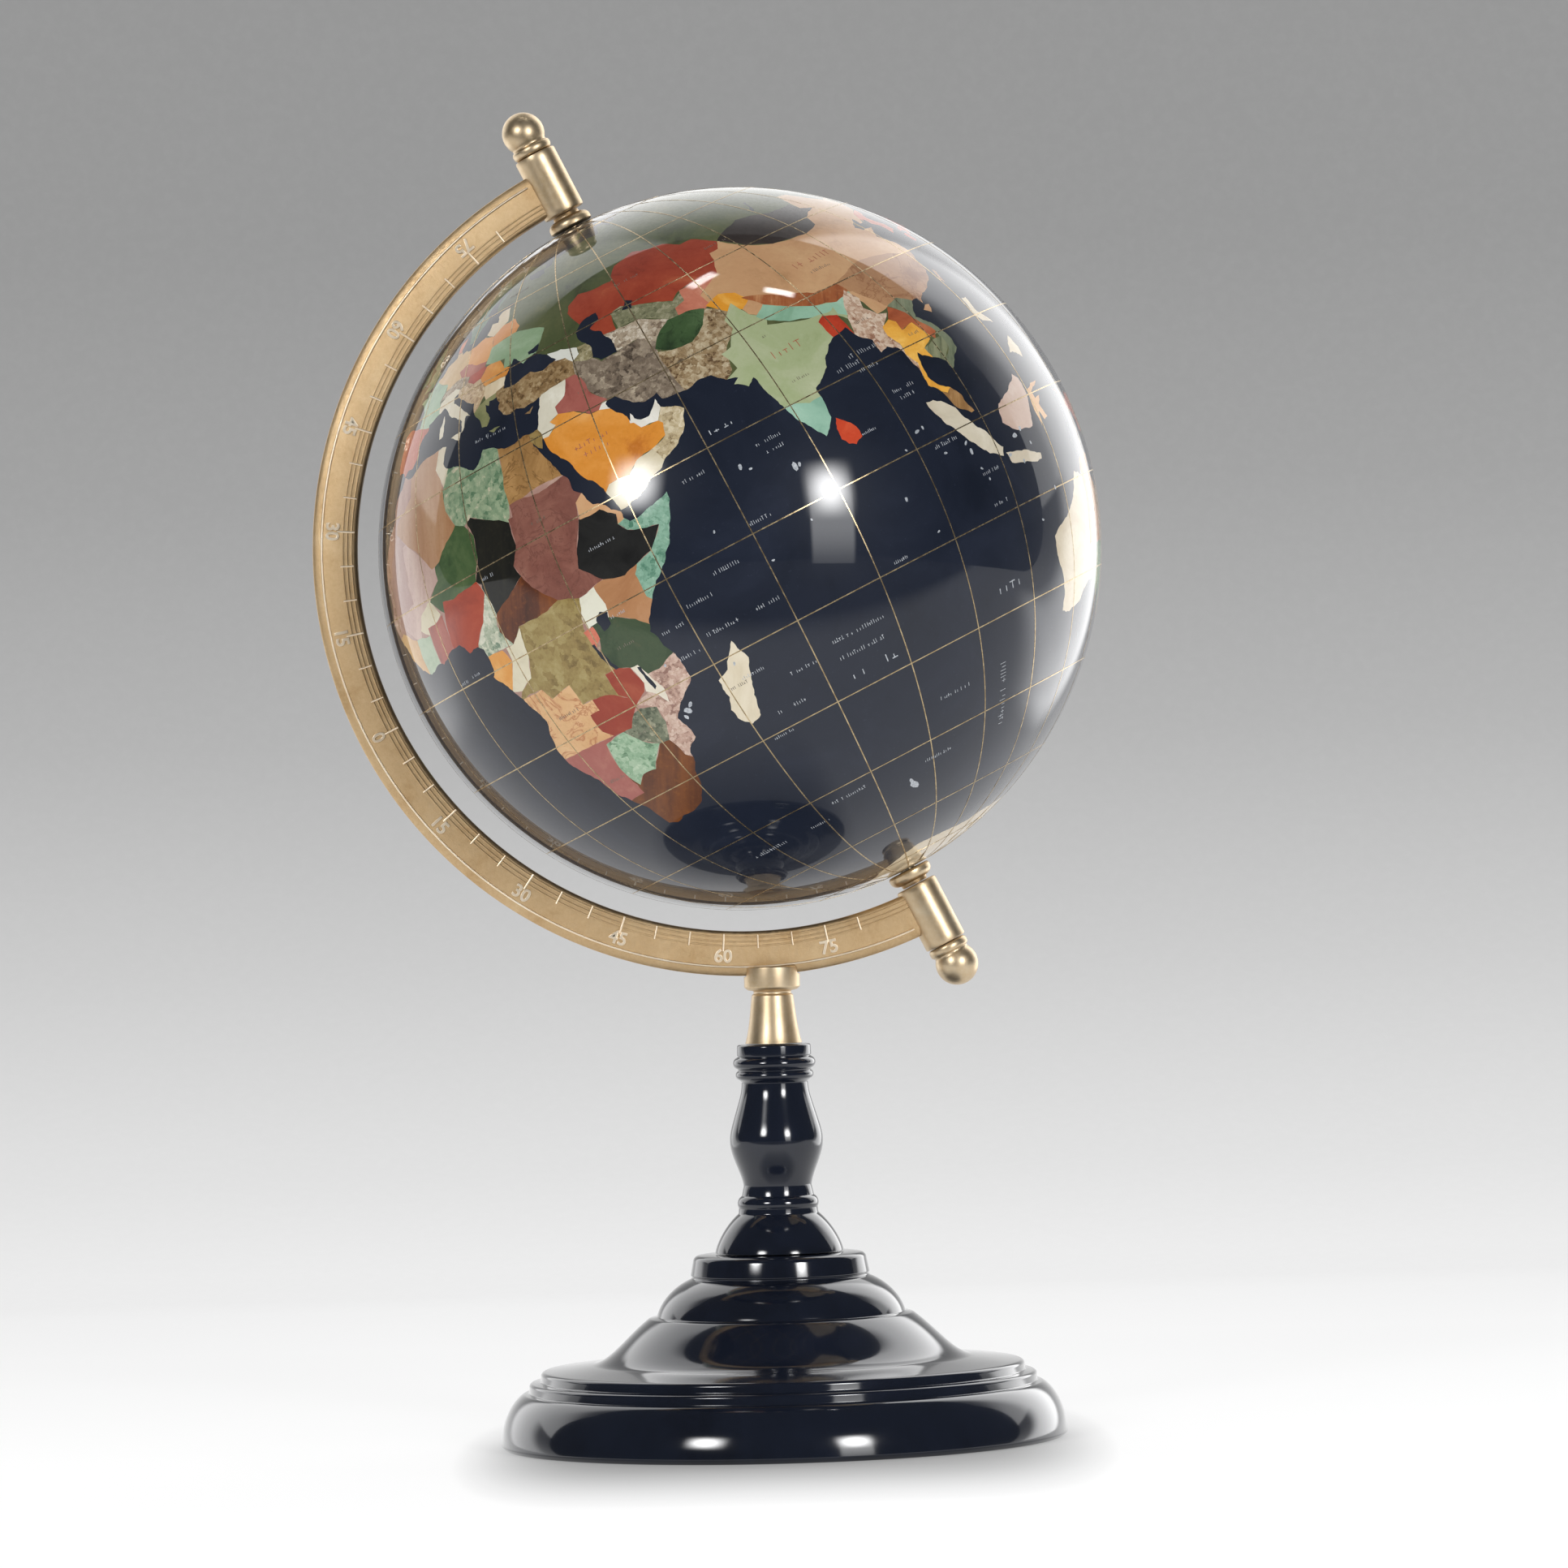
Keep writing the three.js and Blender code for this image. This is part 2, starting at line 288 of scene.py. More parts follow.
POLISH = dict(Coat_Weight=1.0, Coat_Roughness=0.03, Coat_IOR=1.42, IOR=1.45, Specular_IOR_Level=0.08)


def ocean_material():
    m = Mat("ground_navy")
    v = m.coords()
    cloud = m.noise(v, 30.0, 6.0, 0.6, 0.5)
    base = m.ramp(cloud, [(0.3, srgb(22, 28, 41)), (0.5, srgb(28, 34, 48)), (0.72, srgb(35, 41, 56))])
    fleck = m.noise(v, 900.0, 3.0, 0.65)
    base = m.mix(m.ramp(fleck, [(0.62, grey(0.0)), (0.8, grey(0.5))]), base, srgb(52, 59, 76))
    m.link(base, m.b.inputs["Base Color"])
    m.link(m.ramp(cloud, [(0.3, grey(0.34)), (0.7, grey(0.44))]), m.b.inputs["Roughness"])
    m.set(**POLISH)
    return m.m


def stone_material(name, kind, colours, scale=1.0, turn=(0, 0, 0), seed=0, grain=0.5):
    """Polished stone. kind is mottle, speckle, band or vein; colours run dark to light."""
    m = Mat("stone_" + name)
    rnd = random.Random(seed * 7919 + 13)
    move = (rnd.uniform(-3, 3), rnd.uniform(-3, 3), rnd.uniform(-3, 3))
    v = m.coords(move=move)
    cols = [srgb(*c) for c in colours]

    def spread(lo, hi):
        n = len(cols)
        return [(lo + (hi - lo) * i / (n - 1), c) for i, c in enumerate(cols)]

    if kind == "band":
        thin = m.noise(m.coords(move=move, turn=turn, scale=(16, 1.2, 1.2)), 26.0 * scale, 5.0, 0.62, 0.3)
        wide = m.noise(m.coords(move=move, turn=turn, scale=(4, 1, 1)), 20.0 * scale, 4.0, 0.55, 0.4)
        fac = m.math("ADD", m.math("MULTIPLY", thin, 0.4), m.math("MULTIPLY", wide, 0.6))
        base = m.ramp(fac, spread(0.34, 0.66))
    elif kind == "speckle":
        vo = m.node("ShaderNodeTexVoronoi")
        vo.feature = "F1"
        vo.inputs["Scale"].default_value = 760.0 * scale
        vo.inputs["Randomness"].default_value = 1.0
        warp = m.node("ShaderNodeVectorMath")
        warp.operation = "ADD"
        nz = m.node("ShaderNodeTexNoise")
        nz.inputs["Scale"].default_value = 700.0 * scale
        nz.inputs["Detail"].default_value = 3.0
        m.link(v, nz.inputs["Vector"])
        sc = m.node("ShaderNodeVectorMath")
        sc.operation = "SCALE"
        sc.inputs["Scale"].default_value = 0.0024 / scale
        m.link(nz.outputs["Color"], sc.inputs[0])
        m.link(v, warp.inputs[0])
        m.link(sc.outputs[0], warp.inputs[1])
        m.link(warp.outputs[0], vo.inputs["Vector"])
        sep = m.node("ShaderNodeSeparateColor")
        m.link(vo.outputs["Color"], sep.inputs[0])
        cloud = m.noise(v, 110.0 * scale, 6.0, 0.65)
        sand = m.noise(v, 820.0 * scale, 4.0, 0.7)
        fac = m.math("ADD", m.math("MULTIPLY", sep.outputs[0], 0.24),
                     m.math("ADD", m.math("MULTIPLY", cloud, 0.42), m.math("MULTIPLY", sand, 0.42)))
        base = m.ramp(fac, spread(0.36, 0.74))
    elif kind == "vein":
        cloud = m.noise(v, 70.0 * scale, 6.0, 0.62, 0.6)
        base = m.ramp(cloud, spread(0.3, 0.72))
        line = m.noise(v, 95.0 * scale, 5.0, 0.6, 1.3)
        near = m.math("ABSOLUTE", m.math("SUBTRACT", line, 0.5))
        base = m.mix(m.ramp(near, [(0.0, grey(0.75)), (0.022, grey(0.0))]), base, cols[0])
    else:
        cloud = m.noise(v, 62.0 * scale, 7.0, 0.62, 0.7)
        base = m.ramp(cloud, spread(0.3, 0.7))
    fine = m.noise(v, 850.0, 4.0, 0.65)
    base = m.mix(m.ramp(fine, [(0.45, grey(0.0)), (0.78, grey(0.42 * grain))]), base, cols[0])
    base = m.mix(m.ramp(m.noise(m.coords(move=(move[1], move[2], move[0])), 620.0, 4.0, 0.6),
                        [(0.5, grey(0.0)), (0.8, grey(0.4 * grain))]), base, cols[-1])
    m.link(base, m.b.inputs["Base Color"])
    m.link(m.ramp(fine, [(0.3, grey(0.36)), (0.7, grey(0.5))]), m.b.inputs["Roughness"])
    m.set(**POLISH)
    return m.m


def wire_material():
    m = Mat("gold_line")
    v = m.coords()
    n = m.noise(v, 420.0, 4.0, 0.6)
    m.link(m.ramp(n, [(0.3, srgb(150, 130, 98)), (0.7, srgb(196, 176, 138))]), m.b.inputs["Base Color"])
    m.link(m.ramp(n, [(0.3, grey(0.2)), (0.7, grey(0.32))]), m.b.inputs["Roughness"])
    m.set(Metallic=0.85)
    return m.m


def mark_material(name, a, b):
    m = Mat(name)
    n = m.noise(m.coords(), 1400.0, 3.0, 0.6)
    m.link(m.ramp(n, [(0.3, srgb(*a)), (0.7, srgb(*b))]), m.b.inputs["Base Color"])
    m.set(Roughness=0.45, Coat_Weight=1.0, Coat_Roughness=0.03)
    return m.m


LACQUER = lacquer_material()
BRASS_TURNED = brass_material("brass_turned", srgb(212, 196, 168), srgb(204, 182, 149), srgb(192, 168, 130), 0.4, False)
BRASS_CAST = brass_material("brass_cast", srgb(214, 188, 148), srgb(204, 175, 134), srgb(190, 158, 115), 0.47, True)
# pale polished brass for raised marks and beads, made paler than the ring as a painted glint
BRASS_PALE_PAINTED_GLINT = brass_material("brass_pale_painted_glint", srgb(255, 244, 224), srgb(250, 232, 204), srgb(240, 216, 182), 0.4, False)
OCEAN = ocean_material()
WIRE = wire_material()
MARK_WHITE = mark_material("mark_white", (150, 156, 164), (196, 201, 207))
MARK_RED = mark_material("mark_red", (160, 84, 58), (188, 108, 78))
MARK_DARK = mark_material("mark_dark", (92, 82, 70), (122, 110, 94))


# ------------------------------------------------------------------ the map
# Outlines in degrees, as "lon,lat lon,lat ...", drawn from general geography and kept
# coarse, as a hand-cut inlay is. A country is cut off by the coast of its land, and a
# later country lies over an earlier one, so only one of two neighbours draws a border.

LAND = {
    "eurasia": "-5.6,36 -6.4,36.8 -8.9,37 -9.5,38.7 -8.8,41.2 -9.2,43.1 -7.8,43.7 -3.8,43.5 -1.5,43.4 -1.2,44.7 -1.2,46 -2.5,47.3 -4.7,48.2 -1.6,48.7 -1.9,49.7 0.2,49.5 1.6,50.9 3.5,51.4 4.8,53 7,53.5 8.6,53.9 8.1,55.6 8.3,57 10.6,57.7 10.3,56.2 9.8,55 10.9,54 12.5,54.4 14.3,53.9 18.5,54.7 19.9,54.9 21.1,56 21.5,57.5 24,57.1 23.5,58.6 24.7,59.4 28,59.5 30,60 28,60.5 25,60.2 22.9,59.9 21.4,61 21.4,63 25.2,65 24.2,65.8 21.5,64.5 18,62.5 17.2,60.7 18.7,59.9 16.5,57.5 16,56.2 14.2,55.4 12.8,55.5 12.7,56.4 11.3,58.5 10.6,59.4 8,58.1 5.6,58.9 5,60.8 6,62.6 10,64.2 13,66.5 15.5,68.3 19,69.8 23.5,70.6 28.5,71 31,70.2 33,69.5 41,67.5 40.5,66.3 33,66.5 34.8,64.5 38,64.1 40.5,64.7 40,66 43.5,66.3 44,68.4 46,68 53.5,68.8 60,69.5 66,69.2 67,70.8 69,73 72.5,72.5 72.8,69 75,72 80,72.5 80.5,73.6 87,75 98,76.2 104,77.6 113,75.8 113.5,73.7 119,73 127,73.5 129,71.5 132,71.3 140,72.6 151,71.3 160,69.7 170.5,69.9 180,68.9 190.2,66.1 187,64.7 181,65.2 178.5,64.5 179.3,62.5 174.5,61.8 170.3,60 164.5,59.9 163.3,58 162.8,56.2 161.8,54.9 159.8,53.2 156.7,51 155.6,54 156,57 159.5,59.8 163.5,61.5 163.2,62.5 160.2,61.8 156.7,61.5 154.3,59.6 150.5,59.5 143,59.3 139.8,57.5 135.2,54.7 138,53.7 141.2,52.2 140.5,48.5 136,44.5 132.2,43.2 130.7,42.3 129.7,40.9 127.5,39.5 129.4,37 129.2,35.2 126.4,34.4 126.6,37 125,38 125.2,39.6 121.5,38.9 122,40.5 119,39.3 117.8,38.5 119,37.3 122.6,37.3 119.3,35 121.8,31.8 121.9,29.5 119.7,26 117,23.6 113.8,22.3 110.4,21.2 109.9,20.4 109.6,21.6 108,21.5 106.6,20.2 105.7,18.8 108.2,16.1 109.3,13 109,11.5 107,10.4 105,8.7 104.8,10.3 102.5,11.8 101,12.7 100.5,13.5 99.6,11.5 99.2,9.3 100.5,7.2 102.2,6.2 103.4,4.5 103.6,2.6 104.2,1.4 103.4,1.3 101.3,2.8 100.3,5.5 99.7,6.8 98.3,8 98.7,11 97.7,15.5 96,16.5 94.3,16 94.5,18.5 92.3,20.8 91.8,22.4 90.2,22 88.3,21.7 86.9,21 85.2,19.6 82.3,16.6 80.3,15.6 80.2,13.3 79.8,10.4 78.9,9.4 78.2,8.7 77.5,8.1 76.4,9.8 75,12 74,15 72.9,18.8 72.7,21 72.4,21.8 70.9,20.8 69,22.2 70.2,22.9 68.3,23.5 67,24.8 66.5,25.4 61.6,25.1 57.3,25.7 56.9,27.1 54.5,26.6 52.5,27.5 50.8,29.2 50,30.1 48.5,30 48,29.5 48.6,28.2 50.1,26.6 50.8,24.8 51.3,26 51.6,24.9 52.5,24.2 54,24.1 55.3,25.2 56.2,26.2 56.4,24.6 58.6,23.6 59.8,22.5 58.7,20.4 57.7,19 56.3,17.9 55.2,17.4 52.2,15.6 49,14.2 45,12.8 43.4,12.7 42.8,15 42.2,17 41,19 39.1,21.4 38,24 35.2,28.1 34.9,29.5 34.3,31.3 34.9,32.8 35.8,34.8 36.1,36.6 34,36.3 32.5,36.1 30.7,36.8 29.1,36.4 27.4,37 26.3,38.4 26.8,39.5 26.2,40.2 26,40.8 24,40.8 23.8,40 22.9,40.5 23,39.2 24,37.7 23,36.5 21.7,36.8 21.2,38.3 19.4,40.5 19.5,42 16.5,43.4 13.6,45 13.7,45.7 12.3,45.3 12.4,44.2 13.6,43.6 16.1,41.8 18.5,40.1 17,40.5 16.6,38.6 15.7,37.9 15.8,40 14.3,40.8 12.3,41.7 10.3,43.5 8.9,44.4 7.5,43.8 5,43.3 3.1,42.9 3.2,41.9 0.7,40.7 -0.3,39.4 0.2,38.7 -0.7,37.6 -2.1,36.7 -4.4,36.7",
    "africa": "32.5,30 32.4,31.2 31,31.5 30,31.3 28,31 25.2,31.6 23,32.6 21.5,32.9 20,31 18.5,30.4 15.3,32.2 13.2,32.9 11,33.3 10.1,34.3 11,37 9.8,37.3 7,37 3,36.9 -0.7,35.7 -2.9,35.2 -5.4,35.9 -6.3,34.5 -8.5,33.2 -9.7,31.5 -9.8,29.8 -11.5,28.3 -13.2,27.6 -14.8,25.6 -16.9,22 -17,21 -16.3,19.3 -16.5,16.5 -17.5,14.7 -16.8,13 -16,11.8 -15,10.8 -13.3,9 -12.9,7.8 -11.3,6.6 -9,5.1 -7.5,4.4 -4,5.2 -2,4.8 1.2,6 4.3,6.3 6.1,4.3 8.5,4.6 9.6,3.8 9.7,1 9.3,-0.3 8.8,-0.7 11.1,-3.9 12.2,-5.9 13.4,-9 13.8,-10.7 12.5,-13.5 11.8,-17.2 13,-20.5 14.5,-22.8 15.2,-26.7 16.5,-28.6 18.2,-33.2 18.4,-35.3 20,-36 22.5,-35.3 25.7,-35.2 28.3,-34 31,-29.9 32.8,-27 32.9,-25.9 35.5,-24 35.5,-22.2 34.9,-19.9 37,-17.8 40.7,-15 40.5,-10.7 39.5,-8 39.2,-6.5 38.8,-5.9 39.6,-4.1 41.6,-1.7 43.5,0.6 46,2.4 48,4.6 49.9,8 51.1,10.6 51.2,11.9 49,11.3 46.5,10.7 44,10.5 43.2,11.5 43.3,12.5 41,14.8 39.5,15.6 38.5,18 37.3,19 37.2,21 35.6,23.9 34.3,26.2 32.7,29",
    "sinai": "32.3,30 32.3,31.2 34.3,31.3 34.9,29.5 34.3,27.8 33,29",
    "namerica": "-168,65.6 -162,66.5 -166,68.3 -156.5,71.3 -141,69.7 -135,69 -128,70.2 -124,69.5 -115,68.5 -108,68 -101,67.8 -96,68.2 -94,71.5 -90.5,69 -85,69.5 -82,68 -86,66 -88,64 -93.5,61.5 -94.7,58.8 -92.5,57 -85,55.3 -82.3,53 -80,51.2 -79,54.5 -77,56.5 -78.5,59 -77.8,62.4 -72,61.5 -69.5,60 -66,58.8 -64.5,60.3 -61,55.5 -56,52.5 -60,50.2 -66,50.2 -69,48.5 -65,49 -64.5,46.5 -61,45.5 -65.5,43.6 -67,45 -70,43.5 -70,41.6 -74,40.5 -75.5,37.5 -76,35 -79,33.2 -81.3,31 -80.2,27 -80.5,25.2 -81.8,26.3 -82.8,28.5 -84.5,30 -89,30.2 -90.5,29.1 -94.5,29.4 -97.3,27.5 -97.8,22.5 -96,19 -94.3,18.2 -91,18.7 -90.3,21 -87,21.5 -88,18 -88.5,15.8 -83.3,15 -83.5,11 -81,8.8 -79.5,9.5 -77.3,8.6 -78,7.6 -80.3,7.4 -83.5,8.5 -85.7,10 -87.5,13 -92,14.5 -94.5,16.2 -100,16.9 -105.5,20 -105.5,22.5 -109.3,26 -112.8,30 -114.7,31.7 -112,27 -109.6,23 -112.2,25 -115,28.5 -117,32.5 -120.5,34.5 -122.5,37.5 -124.3,40.3 -124,46 -123,49 -128,51 -130.5,54.5 -135,58.5 -140,60 -147,61 -152,59.3 -156,57.2 -163,54.9 -158,58.3 -162,59 -165.5,61.5 -161,64.3 -166,64.5",
    "samerica": "-77.3,8.5 -75.5,10.7 -71.5,12.3 -70,12 -68,10.7 -62,10.7 -60,8.4 -57,6 -51.5,4.2 -50,0.8 -48,-1 -44,-2.7 -39,-3.3 -35.2,-5.5 -35,-9 -39,-13 -39.2,-17.5 -41,-22 -44.5,-23.2 -48.5,-26 -48.8,-28.5 -52,-33 -55,-34.9 -58.3,-34.2 -57,-37.5 -62,-39 -65,-41 -63.7,-42.5 -67.5,-46.3 -66,-48.2 -69,-52.2 -65.3,-54.9 -70,-55.3 -74.5,-51 -75.3,-46.5 -73,-42 -73.5,-37.2 -71.5,-30 -70.2,-20 -71.5,-17.5 -76.2,-14 -79.5,-7.5 -81.3,-5 -80,-3 -80.9,-1 -78.8,1.5 -77.2,4 -77.5,7",
    "greenland": "-73,78.2 -65,80.8 -58,82.2 -32,83.5 -20,81.5 -18,79 -20,75 -24,71 -32,68 -40,65 -43,60 -48,61 -52,65 -54,69 -58,75 -68,76",
    "baffin": "-88,73 -80,73.5 -70,70.5 -62,66.5 -66,62.5 -74,64.5 -78,69",
    "victoria": "-117,70 -115,73 -105,72.5 -103,69.2 -113,68.7",
    "ellesmere": "-90,77 -90,81 -70,83 -62,82.3 -76,78.5",
    "banks": "-124,72.5 -121,74.3 -117,74 -121,71.4",
    "newfoundland": "-59,47.7 -55.5,51.5 -52.8,47",
    "cuba": "-84.8,21.9 -80,23.1 -74.3,20.3 -77.5,19.9 -78.5,21",
    "hispaniola": "-74.4,18.4 -72.5,19.9 -68.4,18.6 -71.5,17.7",
    "australia": "113.6,-22 114,-26 115.7,-32 115,-34.3 118,-35 123.5,-33.9 126,-32.3 131.2,-31.5 135.5,-34.8 138,-33 138.2,-35.5 140.5,-38 143.5,-38.8 146.4,-39 150,-37.4 151.3,-33.5 153.5,-28.5 151,-24 149,-20.5 146.3,-18.8 145.4,-15 143.8,-14.3 142.5,-10.8 141.6,-14 140.8,-17.5 139,-17.4 135.5,-15 136.8,-12.2 132.5,-11.4 130.6,-12.5 129.3,-15 126,-13.9 123.6,-16.8 122.2,-18.1 119,-20 116,-20.8",
    "tasmania": "144.8,-40.8 148.2,-40.9 147.5,-43.5 146,-43.4",
    "new_guinea": "131,-0.8 134,-0.9 135,-3.3 138,-1.7 144,-3.8 147.5,-6 150.8,-10.4 147.5,-9.8 143,-9.2 141,-9 138,-8.3 138.5,-6.8 135,-4.4 132.8,-4 133,-2.5",
    "borneo": "118.2,4 115.5,2.6 112.5,1.4 110.3,0.7 109,-2.2 111.3,-4 114,-4.4 116.4,-4.7 118.2,-1.7 119.4,1 119.4,3",
    "sumatra": "96,5.8 98.8,5 102,0.6 104.5,-2.5 106.6,-5.6 105.9,-6.9 103.1,-5.6 100.8,-3 98.6,0 96.8,3",
    "java": "106.7,-6.6 108.8,-7 111.3,-7.4 115.7,-9 115.4,-9.9 112.5,-9.7 109.5,-9 107.2,-8.4",
    "sulawesi": "119.5,-5.5 119.2,-2.5 120,0.8 125,1.5 121.2,0.2 121.5,-1 123.3,-0.8 121.8,-2 122.8,-4.3 121.3,-4.6 120.5,-3",
    "luzon": "120.3,16 120.7,18.5 122.2,18.4 121.7,15.5 124,12.7 121,13.7 120.2,14.8",
    "mindanao": "122,7.2 123.5,8.7 125.5,9.8 126.5,7.5 125.5,5.7 124,6.8",
    "honshu": "131,34.3 133,35.5 136,35.8 137.2,37.3 139.8,39.5 140.3,41.3 141.8,40.5 141,38 140.8,35.7 139,34.8 136.8,34.4 135.8,33.5 133,34.3",
    "kyushu": "130,33.5 131.8,33.6 131.4,31.5 130.2,31.2 129.8,32.7",
    "shikoku": "132.3,33.4 134.4,34.1 134.3,33.4 133,32.8",
    "hokkaido": "140,42 141.7,45.4 145.3,43.3 143.2,42 141,42.4",
    "sakhalin": "142,46 142,50 142.5,54.3 143.2,52.5 143.6,49.5 142.9,46.8",
    "taiwan": "120.1,23 121.5,25.2 121.9,24.5 120.9,22",
    "hainan": "108.7,19.3 110,20 111,19.8 110,18.4",
    "sri_lanka": "79.6,8.4 80.4,10 81.4,9 82.6,7.4 82.7,5.6 81.2,4.9 80.1,5.5 79.4,6.6",
    "madagascar": "49.3,-13 50.4,-16.6 49.4,-19 47.2,-25.8 45.2,-26.5 43.6,-24.5 43.4,-22.8 44.4,-20.8 44.3,-17.6 46.5,-16.7 48,-14.6",
    "britain": "-5.5,50.1 1.3,51.2 1.6,52.7 0.2,53.2 -1.5,55 -2,57.6 -3.2,58.6 -5,58.5 -6,56.5 -4.8,54.7 -3,54 -4.5,53.3 -4.2,52.3 -5.2,51.8 -3,51.4",
    "ireland": "-6.2,52.3 -6,54 -7.5,55.3 -10,54.2 -9.5,53.2 -10.3,52 -8.5,51.6",
    "iceland": "-22.5,64 -24,65.5 -21.5,66.3 -16,66.5 -13.7,65 -18.5,63.4",
    "sicily": "12.5,38 15.5,38.2 15.1,36.7",
    "sardinia": "8.3,39 8.2,40.9 9.4,42.9 9.6,41 9.6,39.2",
    "crete": "23.5,35.5 26.3,35.3 24.7,34.8",
    "cyprus": "32.3,35 34.5,35.6 33.5,34.6",
    "novaya_zemlya": "52,71 56,73.5 68,76.9 65,76 58.5,72.5 57.5,71",
    "svalbard": "12,79 16,80 27,80 18,77",
    "nz_north": "173,-34.5 175.5,-36.8 178.5,-37.7 177,-39.6 175.3,-41.6 175,-40 173.8,-39.3 174.6,-37.5",
    "nz_south": "172.7,-40.6 174.3,-41.7 172.7,-43.7 170.7,-45.9 168.5,-46.6 166.5,-45.9 168.5,-44 171.5,-41.8",
    "antarctica": "-169.5,-78 -160,-77.5 -150,-76.5 -135,-74.5 -120,-73.8 -105,-74 -100,-72.5 -85,-73 -75,-72 -68,-67.5 -60,-63.5 -57,-63.4 -62,-68 -62,-74 -55,-77 -36,-78.5 -25,-79 -12,-79.3 0,-79 15,-78.6 27,-77.9 38,-76.3 49,-74.4 58,-72.6 67,-71 80,-71.5 95,-72 110,-71 125,-70.5 135,-70 150,-71 165,-72.5 164,-77 180,-78 190.5,-78 190.5,-87.5 -169.5,-87.5",
}

WATER = {
    "black_sea": "28,41.7 31,41.3 35,42.1 38,41 41.5,41.7 39.7,43.5 37.5,44.7 36.6,45.3 35.2,45 33.6,44.4 32.5,45.4 31,46.5 29.7,45 28.6,43.8",
    "azov": "35,46.2 38.3,47 37.6,45.6 36.5,45.4 35.2,45.6",
    "caspian": "47.2,45 49.5,46.6 53,46.9 53,45.2 51,44.5 50.5,44.2 52.6,42.5 52.8,41.3 53.8,40 53.9,37.2 50.3,37.3 48.9,38.5 49.4,40.3 48.5,41.9 47.5,43",
    "aral": "58.4,44.5 60,46.3 61.5,45.5 60.5,43.9",
    "lake_victoria": "31.8,-0.6 33,0.4 34.2,-0.2 33.8,-2 32.2,-2.6",
    "lake_tanganyika": "29.1,-3.6 29.6,-3.6 30.3,-6 31.2,-8.6 30.6,-8.6 29.4,-6",
    "lake_malawi": "33.9,-9.8 34.5,-10 35,-13.8 34.5,-14.2 34.1,-12",
    "baikal": "104,51.6 106,52.2 109.8,55.5 109,55.7 105,52.3",
    "great_lakes_w": "-92,46.8 -88,48.9 -84.8,46.6 -87,46.6 -88,46.9",
    "great_lakes_m": "-87.8,42 -86.3,42.2 -85.5,45.7 -87.6,44.8",
    "great_lakes_h": "-83.8,44 -84.5,45.8 -80.2,45.2 -81.8,43.3",
    "great_lakes_e": "-83.3,41.8 -79,43 -79,42.6 -82.5,41.4",
    "great_lakes_o": "-79.7,43.3 -76.3,44.2 -76.5,43.5",
    "winnipeg": "-99,53.5 -97.5,53.5 -96.5,50.6 -97.2,50.5",
    "bear_lake": "-125,66 -121,66.8 -118.5,65.8 -122,65.1",
    "slave_lake": "-117,61 -111,62.5 -110.5,62 -115,60.9",
}

